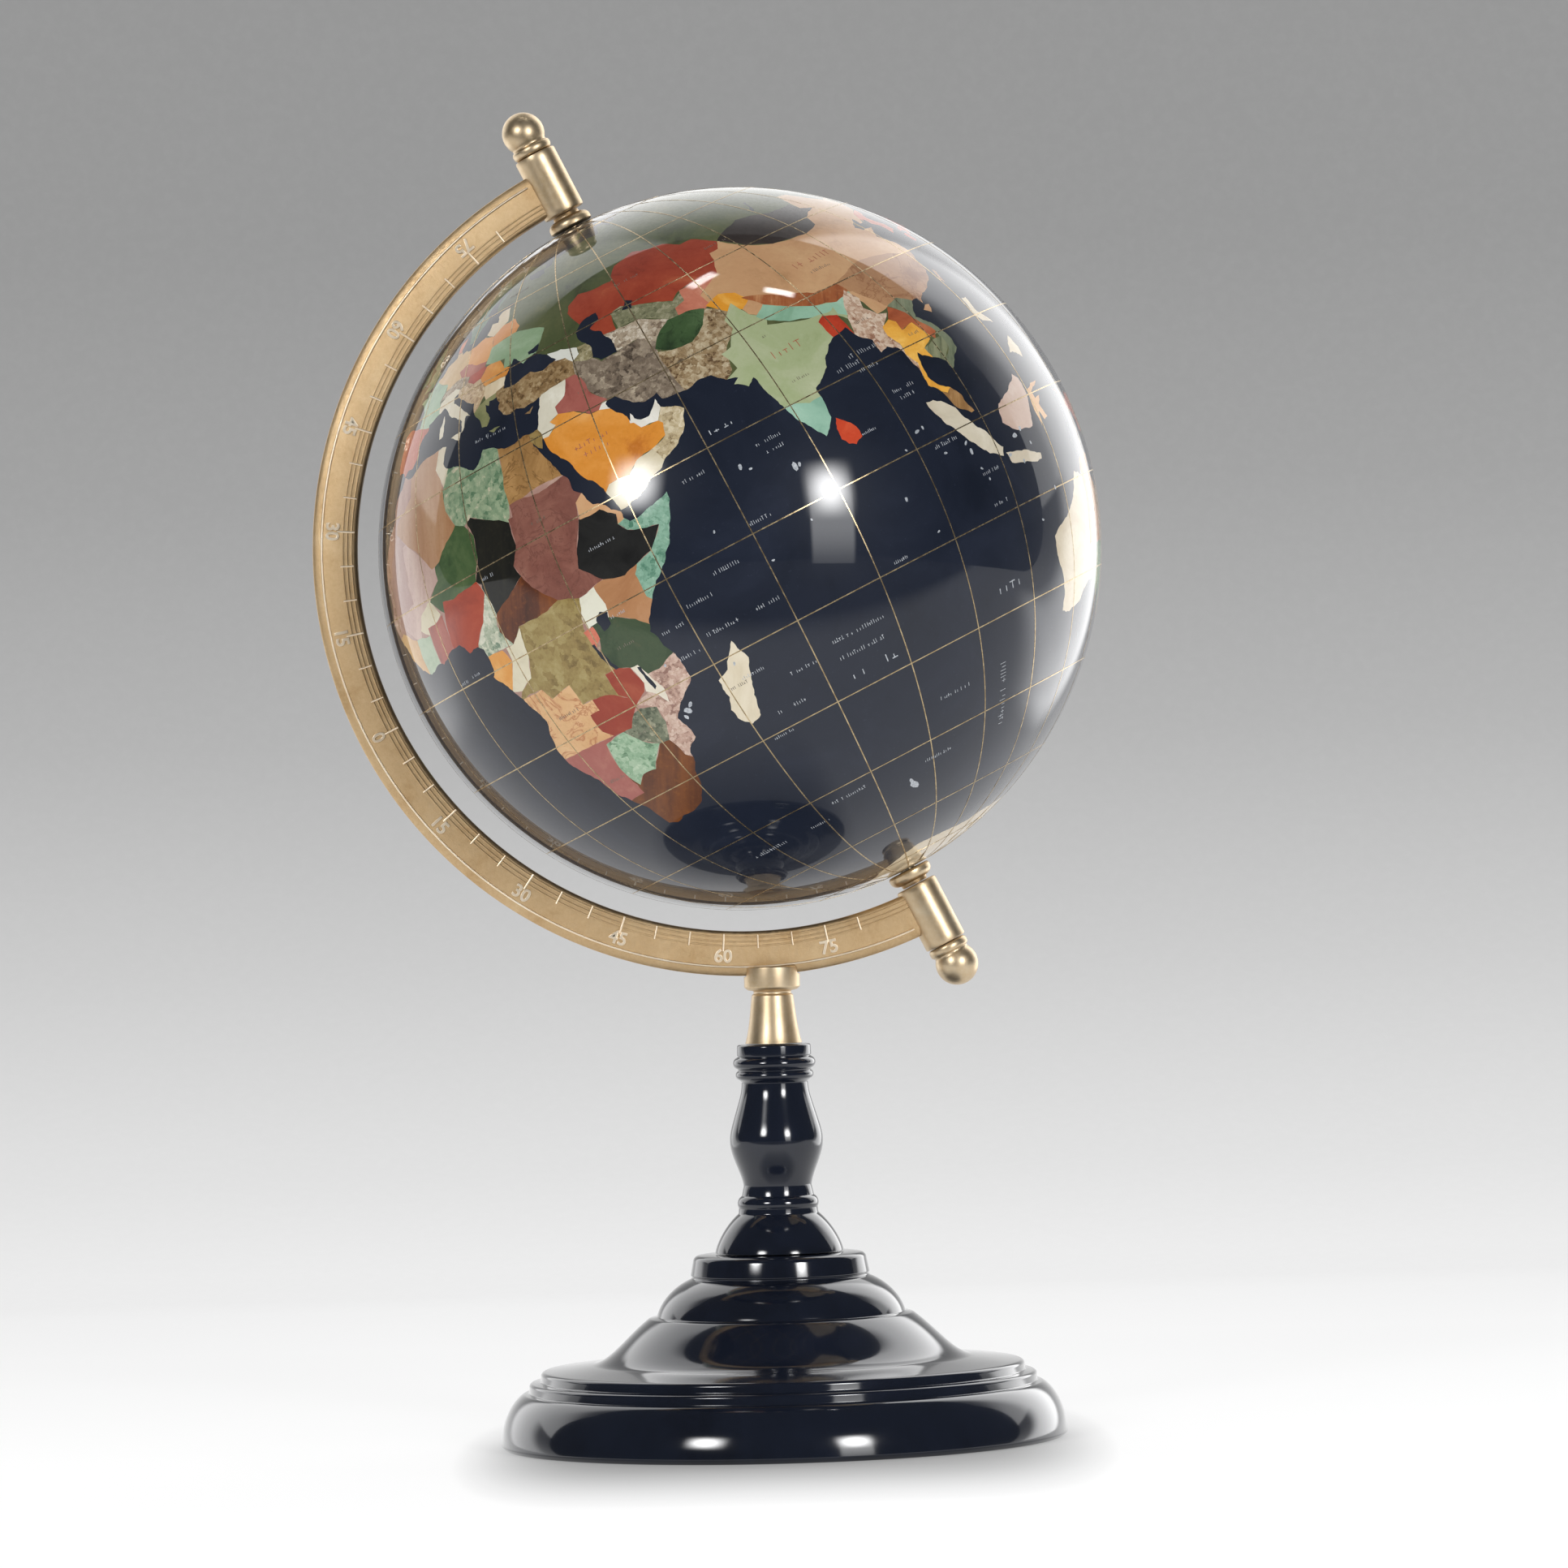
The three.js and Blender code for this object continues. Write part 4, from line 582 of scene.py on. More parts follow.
# ------------------------------------------------------------------ stones
# piece: (kind, colours dark to light, pattern scale, turn of the layers in degrees)
STONES = {
    "russia": ("mottle", [(55, 61, 38), (76, 85, 52), (88, 94, 59), (112, 112, 73)], 0.8, 0),
    "norway": ("speckle", [(96, 92, 86), (140, 134, 124), (176, 170, 158)], 1.0, 0),
    "sweden": ("mottle", [(60, 86, 66), (82, 110, 86), (108, 134, 108)], 1.0, 0),
    "france": ("mottle", [(128, 156, 126), (156, 182, 150), (182, 202, 174)], 1.0, 0),
    "iberia": ("band", [(150, 62, 44), (188, 90, 58), (206, 122, 84)], 1.0, 40),
    "germany": ("mottle", [(182, 142, 92), (206, 170, 116), (222, 192, 146)], 1.0, 0),
    "denmark": ("mottle", [(190, 92, 64), (204, 116, 82), (216, 140, 104)], 1.0, 0),
    "italy": ("mottle", [(206, 196, 170), (224, 214, 190), (236, 230, 212)], 1.0, 0),
    "alpine": ("speckle", [(110, 92, 72), (160, 138, 112), (204, 190, 164)], 1.2, 0),
    "poland": ("mottle", [(206, 130, 62), (220, 150, 76), (232, 172, 102)], 1.0, 0),
    "czech": ("mottle", [(150, 76, 62), (172, 96, 78), (190, 118, 96)], 1.0, 0),
    "baltic": ("mottle", [(196, 172, 140), (216, 196, 164), (230, 214, 188)], 1.0, 0),
    "belarus": ("mottle", [(196, 120, 56), (212, 138, 66), (226, 160, 90)], 1.0, 0),
    "hungary": ("mottle", [(150, 58, 42), (178, 74, 52), (196, 96, 68)], 1.0, 0),
    "balkans": ("speckle", [(150, 120, 90), (196, 168, 132), (222, 204, 172)], 1.2, 0),
    "greece": ("mottle", [(116, 120, 78), (142, 142, 98), (166, 164, 122)], 1.0, 0),
    "romania": ("mottle", [(198, 120, 50), (216, 142, 62), (230, 166, 88)], 1.0, 0),
    "bulgaria": ("mottle", [(210, 188, 152), (226, 208, 176), (238, 224, 198)], 1.0, 0),
    "ukraine": ("mottle", [(112, 138, 104), (142, 168, 132), (168, 190, 156)], 1.1, 0),
    "kazakhstan": ("mottle", [(116, 41, 28), (148, 59, 40), (160, 68, 46), (179, 93, 62)], 0.9, 0),
    "uzbekistan": ("speckle", [(92, 94, 70), (128, 128, 98), (164, 160, 132)], 1.1, 0),
    "turkmenistan": ("speckle", [(112, 94, 78), (172, 156, 134), (220, 210, 192)], 1.1, 0),
    "kyrgyz": ("mottle", [(168, 92, 74), (198, 122, 98), (216, 150, 124)], 1.0, 0),
    "kashmir": ("mottle", [(206, 128, 34), (224, 152, 48), (238, 182, 88)], 1.0, 0),
    "china": ("mottle", [(175, 132, 91), (199, 154, 112), (206, 164, 121), (218, 179, 140)], 0.6, 0),
    "china_southeast": ("vein", [(140, 92, 60), (170, 126, 90), (180, 136, 98), (194, 152, 114)], 0.5, 0),
    "tibet_edge": ("band", [(112, 56, 34), (160, 92, 54), (204, 152, 104)], 1.6, 75),
    "mongolia": ("mottle", [(28, 22, 20), (45, 36, 33), (64, 53, 47)], 0.9, 0),
    "korea": ("mottle", [(190, 92, 64), (206, 118, 84), (220, 144, 108)], 1.0, 0),
    "iran": ("speckle", [(73, 63, 54), (120, 106, 91), (148, 134, 116), (183, 169, 147)], 0.8, 0),
    "pakistan": ("speckle", [(85, 61, 41), (149, 126, 93), (181, 163, 132), (201, 187, 159)], 1.0, 0),
    "afghanistan": ("vein", [(40, 56, 36), (64, 88, 54), (84, 108, 72)], 1.0, 0),
    "india": ("mottle", [(148, 160, 115), (164, 176, 133), (174, 183, 145), (188, 195, 161)], 0.7, 0),
    "india_tip": ("mottle", [(134, 176, 154), (152, 192, 170), (170, 206, 184)], 1.0, 0),
    "nepal": ("mottle", [(128, 168, 140), (150, 190, 164), (172, 206, 184)], 1.0, 0),
    "bangladesh": ("mottle", [(152, 44, 28), (186, 64, 40), (204, 88, 58)], 1.2, 0),
    "myanmar": ("speckle", [(146, 104, 82), (190, 158, 134), (214, 192, 170), (230, 214, 196)], 1.0, 0),
    "thailand": ("mottle", [(215, 145, 50), (236, 174, 71), (249, 202, 104)], 1.0, 0),
    "laos": ("mottle", [(136, 62, 36), (172, 90, 54), (192, 116, 76)], 1.0, 0),
    "vietnam": ("band", [(82, 92, 70), (122, 130, 104), (164, 166, 138)], 1.6, 20),
    "cambodia": ("band", [(92, 100, 74), (136, 140, 108), (176, 172, 140)], 1.8, 70),
    "malaya": ("band", [(142, 104, 62), (176, 136, 88), (200, 164, 116)], 1.8, 30),
    "turkey": ("speckle", [(84, 62, 38), (132, 104, 68), (158, 132, 94), (186, 164, 126)], 1.0, 0),
    "caucasus": ("mottle", [(206, 206, 194), (224, 224, 214), (238, 238, 230)], 1.0, 0),
    "azerbaijan": ("speckle", [(98, 92, 64), (150, 140, 104), (196, 188, 158)], 1.2, 0),
    "iraq": ("mottle", [(138, 72, 64), (166, 96, 86), (186, 120, 106)], 0.9, 0),
    "levant": ("mottle", [(202, 196, 174), (220, 214, 194), (236, 232, 216)], 1.0, 0),
    "arabia": ("mottle", [(193, 113, 36), (219, 142, 52), (227, 153, 68), (237, 175, 102)], 0.7, 0),
    "kuwait": ("mottle", [(224, 220, 206), (236, 233, 222), (244, 242, 236)], 1.0, 0),
    "gulf_coast": ("mottle", [(214, 208, 194), (230, 226, 214), (242, 240, 232)], 1.0, 0),
    "oman": ("speckle", [(128, 108, 76), (188, 170, 134), (212, 198, 166), (230, 220, 196)], 0.9, 0),
    "yemen": ("mottle", [(196, 182, 150), (212, 200, 170), (226, 218, 194)], 1.0, 0),
    "morocco": ("band", [(150, 106, 92), (176, 136, 118), (196, 164, 146)], 0.7, 0),
    "algeria": ("band", [(145, 94, 58), (166, 119, 81), (179, 135, 98), (187, 148, 113)], 0.8, 8),
    "tunisia": ("mottle", [(200, 186, 158), (218, 206, 180), (232, 224, 204)], 1.0, 0),
    "mauritania": ("band", [(142, 104, 96), (170, 134, 124), (192, 164, 152)], 1.1, 4),
    "mali": ("band", [(140, 98, 92), (172, 134, 124), (192, 160, 148), (206, 178, 164)], 0.7, 6),
    "west_africa": ("mottle", [(150, 110, 100), (174, 138, 126), (196, 166, 150)], 1.0, 0),
    "guinea_coast": ("mottle", [(196, 150, 92), (214, 174, 118), (226, 194, 148)], 1.0, 0),
    "ivory": ("mottle", [(150, 170, 140), (176, 192, 164), (198, 208, 184)], 1.0, 0),
    "ghana": ("mottle", [(140, 66, 54), (166, 84, 68), (184, 106, 88)], 1.0, 0),
    "burkina": ("mottle", [(198, 186, 154), (214, 204, 174), (228, 220, 196)], 1.0, 0),
    "libya": ("speckle", [(84, 118, 88), (131, 154, 122), (153, 170, 138), (212, 199, 172)], 0.7, 0),
    "egypt": ("vein", [(114, 82, 46), (159, 120, 72), (179, 138, 86), (200, 159, 108)], 0.9, 0),
    "sinai": ("vein", [(104, 84, 46), (146, 122, 72), (172, 150, 98)], 0.9, 0),
    "sudan": ("vein", [(110, 68, 60), (129, 82, 71), (141, 94, 81), (161, 118, 101)], 1.0, 0),
    "niger": ("mottle", [(42, 64, 36), (66, 90, 53), (80, 101, 62), (101, 118, 79)], 1.1, 0),
    "chad": ("band", [(20, 20, 18), (28, 28, 24), (34, 33, 27), (70, 66, 46)], 1.1, 4),
    "nigeria": ("mottle", [(143, 48, 25), (170, 65, 36), (183, 80, 48)], 0.9, 0),
    "cameroon": ("speckle", [(110, 134, 112), (168, 178, 154), (206, 208, 186), (224, 222, 204)], 0.8, 0),
    "central_africa": ("band", [(52, 26, 16), (84, 42, 22), (122, 66, 28), (190, 110, 40)], 0.6, 118),
    "ethiopia": ("mottle", [(22, 22, 22), (34, 34, 33), (48, 48, 46)], 1.0, 0),
    "eritrea": ("mottle", [(190, 140, 96), (208, 162, 118), (222, 182, 142)], 1.0, 0),
    "somalia": ("speckle", [(78, 124, 102), (120, 160, 138), (140, 178, 156), (170, 198, 178)], 0.8, 0),
    "kenya": ("mottle", [(161, 110, 73), (179, 130, 90), (190, 145, 108)], 0.8, 0),
    "uganda": ("mottle", [(214, 210, 190), (228, 226, 208), (240, 238, 226)], 1.0, 0),
    "rwanda": ("mottle", [(176, 74, 52), (196, 96, 72), (210, 122, 98)], 1.0, 0),
    "tanzania": ("mottle", [(32, 48, 31), (50, 69, 45), (64, 80, 55), (86, 85, 61)], 1.0, 0),
    "congo_basin": ("speckle", [(114, 94, 52), (144, 123, 73), (157, 138, 85), (170, 153, 102)], 0.55, 0),
    "congo": ("mottle", [(204, 194, 166), (222, 214, 188), (234, 228, 208)], 1.0, 0),
    "gabon": ("mottle", [(206, 134, 52), (222, 154, 74), (232, 176, 104)], 1.0, 0),
    "angola": ("vein", [(176, 106, 66), (210, 164, 114), (220, 178, 130), (230, 196, 152)], 0.6, 0),
    "zambia": ("mottle", [(120, 40, 28), (149, 58, 40), (165, 80, 56)], 1.0, 0),
    "mozambique": ("speckle", [(140, 106, 94), (186, 154, 138), (206, 180, 164), (222, 204, 188)], 0.9, 0),
    "malawi": ("mottle", [(206, 196, 176), (222, 214, 196), (234, 228, 214)], 1.0, 0),
    "zimbabwe": ("speckle", [(70, 78, 62), (116, 122, 100), (160, 158, 134)], 0.9, 0),
    "namibia": ("mottle", [(140, 75, 69), (165, 97, 88), (182, 121, 106)], 0.9, 0),
    "botswana": ("speckle", [(96, 130, 100), (140, 172, 140), (164, 190, 160), (190, 208, 182)], 0.8, 0),
    "south_africa": ("band", [(58, 30, 16), (90, 48, 22), (118, 66, 26), (178, 108, 36)], 0.55, 128),
    "madagascar": ("mottle", [(211, 198, 171), (223, 212, 189), (233, 224, 206)], 0.9, 0),
    "sri_lanka": ("mottle", [(172, 52, 30), (202, 72, 42), (216, 96, 60)], 1.0, 0),
    "sumatra": ("mottle", [(198, 186, 162), (214, 204, 182), (228, 220, 202)], 1.0, 0),
    "java": ("mottle", [(202, 188, 164), (216, 204, 182), (230, 220, 202)], 1.0, 0),
    "borneo": ("mottle", [(196, 164, 146), (214, 188, 172), (226, 206, 192)], 1.0, 0),
    "sulawesi": ("mottle", [(206, 150, 90), (220, 170, 112), (230, 188, 138)], 1.0, 0),
    "luzon": ("mottle", [(196, 176, 140), (212, 196, 164), (226, 214, 188)], 1.0, 0),
    "mindanao": ("mottle", [(196, 176, 140), (212, 196, 164), (226, 214, 188)], 1.0, 0),
    "new_guinea": ("mottle", [(150, 60, 44), (176, 82, 58), (194, 106, 78)], 1.0, 0),
    "new_guinea_east": ("mottle", [(84, 110, 76), (108, 134, 96), (132, 156, 120)], 1.0, 0),
    "honshu": ("mottle", [(176, 60, 40), (200, 82, 54), (214, 106, 74)], 1.0, 0),
    "australia_west": ("mottle", [(196, 176, 146), (212, 196, 168), (226, 214, 190)], 0.7, 0),
    "australia_north": ("band", [(150, 94, 52), (186, 128, 78), (208, 158, 108)], 1.0, 35),
    "australia_south": ("mottle", [(112, 140, 108), (138, 164, 130), (162, 184, 152)], 0.9, 0),
    "australia_east": ("speckle", [(122, 92, 70), (170, 140, 110), (202, 178, 150)], 0.9, 0),
    "australia_inland": ("mottle", [(176, 94, 80), (196, 118, 100), (210, 144, 124)], 0.9, 0),
    "antarctica": ("mottle", [(196, 176, 142), (212, 194, 162), (226, 210, 182)], 0.7, 0),
    "canada": ("speckle", [(150, 116, 100), (190, 158, 138), (212, 186, 166), (226, 206, 190)], 0.6, 0),
    "alaska": ("mottle", [(62, 92, 68), (86, 116, 88), (110, 138, 108)], 0.9, 0),
    "usa": ("vein", [(118, 150, 136), (146, 176, 160), (168, 194, 178), (186, 206, 192)], 0.8, 0),
    "usa_west": ("vein", [(118, 150, 136), (150, 180, 162), (178, 200, 184)], 0.8, 0),
    "mexico": ("mottle", [(196, 118, 44), (216, 144, 62), (230, 170, 92)], 0.9, 0),
    "central_america": ("mottle", [(150, 62, 46), (176, 84, 62), (194, 108, 84)], 1.0, 0),
    "greenland": ("mottle", [(204, 200, 188), (222, 219, 208), (236, 234, 226)], 0.7, 0),
    "brazil": ("mottle", [(58, 84, 54), (80, 108, 72), (98, 124, 86), (122, 144, 106)], 0.7, 0),
    "colombia": ("mottle", [(206, 176, 128), (220, 194, 150), (232, 210, 174)], 1.0, 0),
    "venezuela": ("mottle", [(160, 62, 46), (184, 84, 60), (200, 108, 80)], 1.0, 0),
    "guianas": ("mottle", [(206, 196, 172), (222, 214, 192), (234, 228, 210)], 1.0, 0),
    "peru": ("band", [(146, 86, 44), (184, 122, 70), (206, 152, 100)], 1.1, 70),
    "ecuador": ("mottle", [(120, 146, 116), (146, 172, 140), (170, 192, 160)], 1.0, 0),
    "bolivia": ("speckle", [(104, 92, 78), (152, 140, 122), (190, 180, 162)], 1.0, 0),
    "paraguay": ("mottle", [(188, 92, 56), (206, 116, 76), (220, 142, 102)], 1.0, 0),
    "chile": ("mottle", [(150, 70, 62), (174, 94, 82), (192, 120, 106)], 1.0, 0),
    "argentina": ("mottle", [(190, 152, 96), (208, 174, 118), (222, 194, 146)], 0.8, 0),
    "uruguay": ("mottle", [(120, 150, 132), (146, 174, 154), (170, 194, 174)], 1.0, 0),
    "pale_islands": ("mottle", [(202, 192, 170), (218, 210, 190), (232, 226, 210)], 1.0, 0),
    "green_islands": ("mottle", [(70, 96, 70), (94, 120, 92), (120, 144, 114)], 1.0, 0),
}

# lands of one stone, by land name; those not named are pale
WHOLE = {k: k for k in ("madagascar", "sri_lanka", "sumatra", "java", "borneo", "sulawesi", "luzon", "mindanao",
                        "new_guinea", "honshu", "greenland", "antarctica", "sinai")}
WHOLE.update({"kyushu": "honshu", "shikoku": "honshu", "hokkaido": "honshu", "sakhalin": "russia",
              "novaya_zemlya": "russia", "baffin": "canada", "victoria": "canada", "ellesmere": "canada",
              "banks": "canada", "newfoundland": "canada", "tasmania": "australia_east", "hainan": "china",
              "taiwan": "china_southeast", "britain": "green_islands", "ireland": "green_islands",
              "nz_north": "green_islands", "nz_south": "green_islands", "cuba": "green_islands",
              "sicily": "italy", "sardinia": "italy", "crete": "greece", "cyprus": "turkey"})
SAME = {"alaska_coast": "canada", "antarctica_east": "antarctica"}


# places of the small rows of strokes: lon, lat, length and height in mm
ROWS_WHITE = [
    (61.8, 1.5, 8, 1.2), (53.8, -2.6, 8, 1.2), (48.0, -5.2, 9, 1.2), (57.0, -10.4, 7.5, 1.2),
    (49.1, -10.5, 10.5, 1.2), (42.0, -7.1, 7, 1.2), (69.2, 11.9, 9, 1.2), (69.4, 10.2, 6, 1.1),
    (64.5, 17.0, 13, 1.5), (56.1, 12.0, 8, 1.2), (42.4, -11.9, 7, 1.2), (49.6, -19.1, 7, 1.1),
    (57.4, -22.1, 8.5, 1.2), (52.5, -26.9, 9, 1.2), (68.1, -20.7, 17, 1.3), (67.6, -23.7, 15, 1.3),
    (67.6, -27.2, 14, 2.4), (98.6, -25.9, 10.5, 2.4), (82.5, -38.4, 11, 1.2), (53.0, -47.4, 11, 1.2),
    (76.1, -48.7, 9, 1.1), (28.8, -50.4, 12, 1.4), (87.7, 16.4, 10, 1.4), (91.6, 17.7, 12, 1.4),
    (90.4, 14.9, 7, 1.1), (93.6, 9.6, 8, 1.2), (93.7, 8.2, 6, 1.1), (83.6, 5.9, 6, 1), (95.5, -1.0, 9, 1.2),
    (101.6, -8.0, 7, 1.1), (101.4, -13.1, 6, 1.1), (38.1, 9.5, 9, 1.1), (16.6, 13.5, 6, 1.1),
    (4.8, 1.0, 5, 1.1), (1.1, 0.7, 4, 1), (35.4, -1.2, 5, 1), (21.6, 34.9, 6, 1), (25.0, 34.6, 7, 1),
    (79.4, -14.0, 5, 1), (48.7, -30.6, 6, 1), (43.3, -50.3, 6, 1),
]
ROWS_TURNED = [(95.2, -44.2, 24, 2.2, 90)]
ROWS_RED = [
    (80.0, 23.6, 11, 2.6), (98.8, 36.4, 17, 2.4), (43.1, 25.1, 11, 1.6), (42.9, 23.4, 9, 1.6),
]
ROWS_DARK = [
    (78.2, 27.3, 1.2, 1), (79.0, 18.3, 6, 1.1), (58.9, 33.6, 8, 1.1), (64.4, 30.2, 6, 1), (95.2, 22.3, 5, 1),
    (29.9, 17.5, 7, 1.1), (18.4, -11.2, 8, 1.1), (34.1, -5.9, 6, 1), (86.2, 48.7, 8, 1.1), (62.7, 50.6, 8, 1.1),
    (30.1, 62.7, 7, 1.1), (97.9, 34.0, 8, 1.1), (28.8, -19.2, 6, 1), (17.7, -24.1, 6, 1), (46.6, -19.8, 5, 1),
    (45.3, 33.7, 5, 1), (102.5, 16.6, 4, 1),
]
# small pale specks for islands: lon, lat, size in mm
ISLETS = [
    (68.9, -52.5, 3.2), (68.3, -51.3, 1.6), (84.4, -6.1, 1.3), (63.1, 10.0, 1.5), (64.4, 9.0, 1),
    (70.7, 6.1, 2.2), (71.4, 6.1, 1.2), (87.5, -12.8, 0.8), (91.6, 2.4, 1.4), (92.9, 2.6, 1), (99.2, -2.5, 1.2),
    (99.5, -4.0, 1.6), (94.6, -2.5, 1), (100.1, -7.1, 0.9), (107.5, -7.2, 1.4), (110.3, -9.0, 1.2),
    (110.5, -4.8, 2), (112.6, -4.2, 1.4), (113.9, -6.9, 1.1), (116.9, -14.9, 1.2), (100.9, -9.1, 0.8),
    (47.9, -16.4, 1), (37.2, -19.6, 2.4), (38.1, -18.9, 1.6), (36.3, -20.4, 1.5), (60.9, -5.0, 0.9),
    (69.0, -2.2, 0.7), (88.2, 0.6, 0.8), (38.1, -11.6, 1), (54.9, 3.0, 0.9), (110.8, -18.7, 1),
]


# ------------------------------------------------------------------ stand
def stand():
    base = [(0, 0), (85.2, 0)] + arc(74.4, 0.0, 12.0, 18.2, 4, math.degrees(math.acos((80 - 74.4) / 12.0)), 34)
    base += [(79.2, 16.6), (77.6, 16.75), (77.4, 17.0)] + arc(76.2, 18.9, 1.15, 1.0, 0, 86, 10)
    base += [(74.0, 20.1), (73.8, 20.35)] + arc(72.2, 22.0, 1.5, 1.25, 0, 84, 10) + [(71.0, 23.35)]
    base += flow((58.5, 24.9), (52.5, 25.4), (47.5, 33.2), (40.3, 38.5), 30)
    base += flow((37.9, 38.9), (36.8, 43.4), (32.8, 47.9), (27.2, 50.2), 24)
    base += [(27.0, 50.75), (27.3, 51.2), (26.5, 55.2)] + arc(24.5, 55.3, 1.95, 1.95, 12, 84, 10) + [(22.0, 57.5), (0, 57.5)]
    v, f = lathe_data(rounded(base, 0.5), seg=192)
    finish_piece(make("base_turned", v, f, LACQUER), "stand", "lacquer", "base")

    column = [(0, 57.8)] + flow((19.6, 57.8), (19.0, 61.2), (16.0, 66.4), (12.2, 69.6), 24)
    column += arc(9.8, 72.6, 2.6, 2.7, -28, 62, 14) + flow((10.4, 78.0), (10.9, 82.0), (14.0, 86.4), (14.2, 91.2), 24)
    column += flow((14.2, 92.0), (14.2, 93.8), (13.6, 95.8), (13.0, 97.8), 16)
    column += flow((11.1, 104.0), (10.5, 106.0), (10.2, 107.4), (10.15, 109.6), 16)
    column += arc(10.5, 111.7, 1.4, 1.5, -62, 62, 14) + arc(10.8, 115.3, 1.8, 1.9, -70, 68, 18)
    column += [(11.1, 117.35), (11.35, 117.7), (11.25, 120.6), (10.85, 121.0), (0, 121.0)]
    v, f = lathe_data(rounded(column, 0.4), seg=160)
    finish_piece(make("column_turned", v, f, LACQUER), "stand", "lacquer", "column")


def ferrule():
    profile = [(0, 121.3)] + flow((8.7, 121.3), (7.5, 124.6), (7.0, 130.0), (6.3, 136.0), 26)
    profile += [(5.7, 136.4), (5.7, 137.2), (7.6, 137.6), (8.5, 138.4), (8.5, 144.5), (8.2, 144.8), (0, 144.8)]
    v, f = lathe_data(rounded(profile, 0.35), seg=144)
    body = make("ferrule_turned", v, f, BRASS_TURNED)
    # the slot that takes the ring: the ring's section, grown by the joint's clearance
    g = 0.4
    sec = [(ARM_INNER_R - 6, -(ARM_HALF_DEPTH + g)), (ARM_OUTER_R - OUTER_BEVEL, -(ARM_HALF_DEPTH + g)),
           (ARM_OUTER_R + g, -(ARM_HALF_DEPTH - OUTER_DROP + g)), (ARM_OUTER_R + g, ARM_HALF_DEPTH - OUTER_DROP + g),
           (ARM_OUTER_R - OUTER_BEVEL, ARM_HALF_DEPTH + g), (ARM_INNER_R - 6, ARM_HALF_DEPTH + g)]
    cv, cf = sweep_data(sec, math.radians(250), math.radians(290), 40)
    cutter = make("ferrule_slot", cv, cf, BRASS_TURNED)
    cut = body.modifiers.new("slot", "BOOLEAN")
    cut.operation, cut.solver, cut.object = "DIFFERENCE", "EXACT", cutter
    bpy.context.view_layer.update()
    me = bpy.data.meshes.new_from_object(body.evaluated_get(bpy.context.evaluated_depsgraph_get()))
    body.modifiers.clear()
    body.data = me
    me.shade_smooth()
    me.set_sharp_from_angle(angle=math.radians(32))
    bpy.data.objects.remove(cutter)
    finish_piece(body, "stand", "brass", "ferrule")


# ------------------------------------------------------------------ half-meridian
def ring_point(r, t, y):
    """Point of the ring's plane: t is the angle in XZ from +X, about the globe's centre."""
    return CENTRE + np.array([r * math.cos(t), y, r * math.sin(t)])


def sweep_data(section, t0, t1, n):
    """Closed body of a (radius, y) section swept round the globe's centre."""
    verts, faces = [], []
    k = len(section)
    for t in np.linspace(t0, t1, n + 1):
        verts += [ring_point(r, t, y) for r, y in section]
    for i in range(n):
        for j in range(k):
            a, b = i * k + j, i * k + (j + 1) % k
            faces.append((a, b, b + k, a + k))
    faces.append(tuple(range(k))[::-1])
    faces.append(tuple(range(n * k, n * k + k)))
    area = sum(section[j][0] * section[(j + 1) % k][1] - section[(j + 1) % k][0] * section[j][1] for j in range(k))
    if area > 0:
        return verts, faces
    return verts, [tuple(reversed(f)) for f in faces]


def ring_section():
    d, inn, out = ARM_HALF_DEPTH, ARM_INNER_R, ARM_OUTER_R

    def line(r, w, tall):
        """Thin rounded line cast proud of the face."""
        return [(r - w / 2 - 0.06, d), (r - w / 2, d + 0.05 * tall)] \
            + [(r + w / 2 * math.sin(t), d + tall * (0.3 + 0.7 * math.cos(t))) for t in np.linspace(-1.35, 1.35, 7)] \
            + [(r + w / 2, d + 0.05 * tall), (r + w / 2 + 0.06, d)]

    half = [(inn, 0.0), (inn, d - INNER_BEVEL - 0.4), (inn + 0.05, d - INNER_BEVEL), (inn + 0.2, d - 0.5),
            (inn + 0.5, d - 0.2), (inn + INNER_BEVEL, d - 0.03), (inn + INNER_BEVEL + 0.1, d)]
    half += line(118.1, 0.5, 0.2) + line(119.5, 0.5, 0.2) + line(120.8, 0.5, 0.2)
    bevel = [(out - OUTER_BEVEL + 0.15, d - 0.03), (out - OUTER_BEVEL + 0.6, d - 0.16), (out - 1.2, d - 0.5),
             (out - 0.5, d - 0.86), (out - 0.12, d - OUTER_DROP), (out, d - OUTER_DROP - 0.35)]
    half += bevel + [(out, 0.0)]
    other = [(r, -y) for r, y in half[1:-1]][::-1]
    return half + other


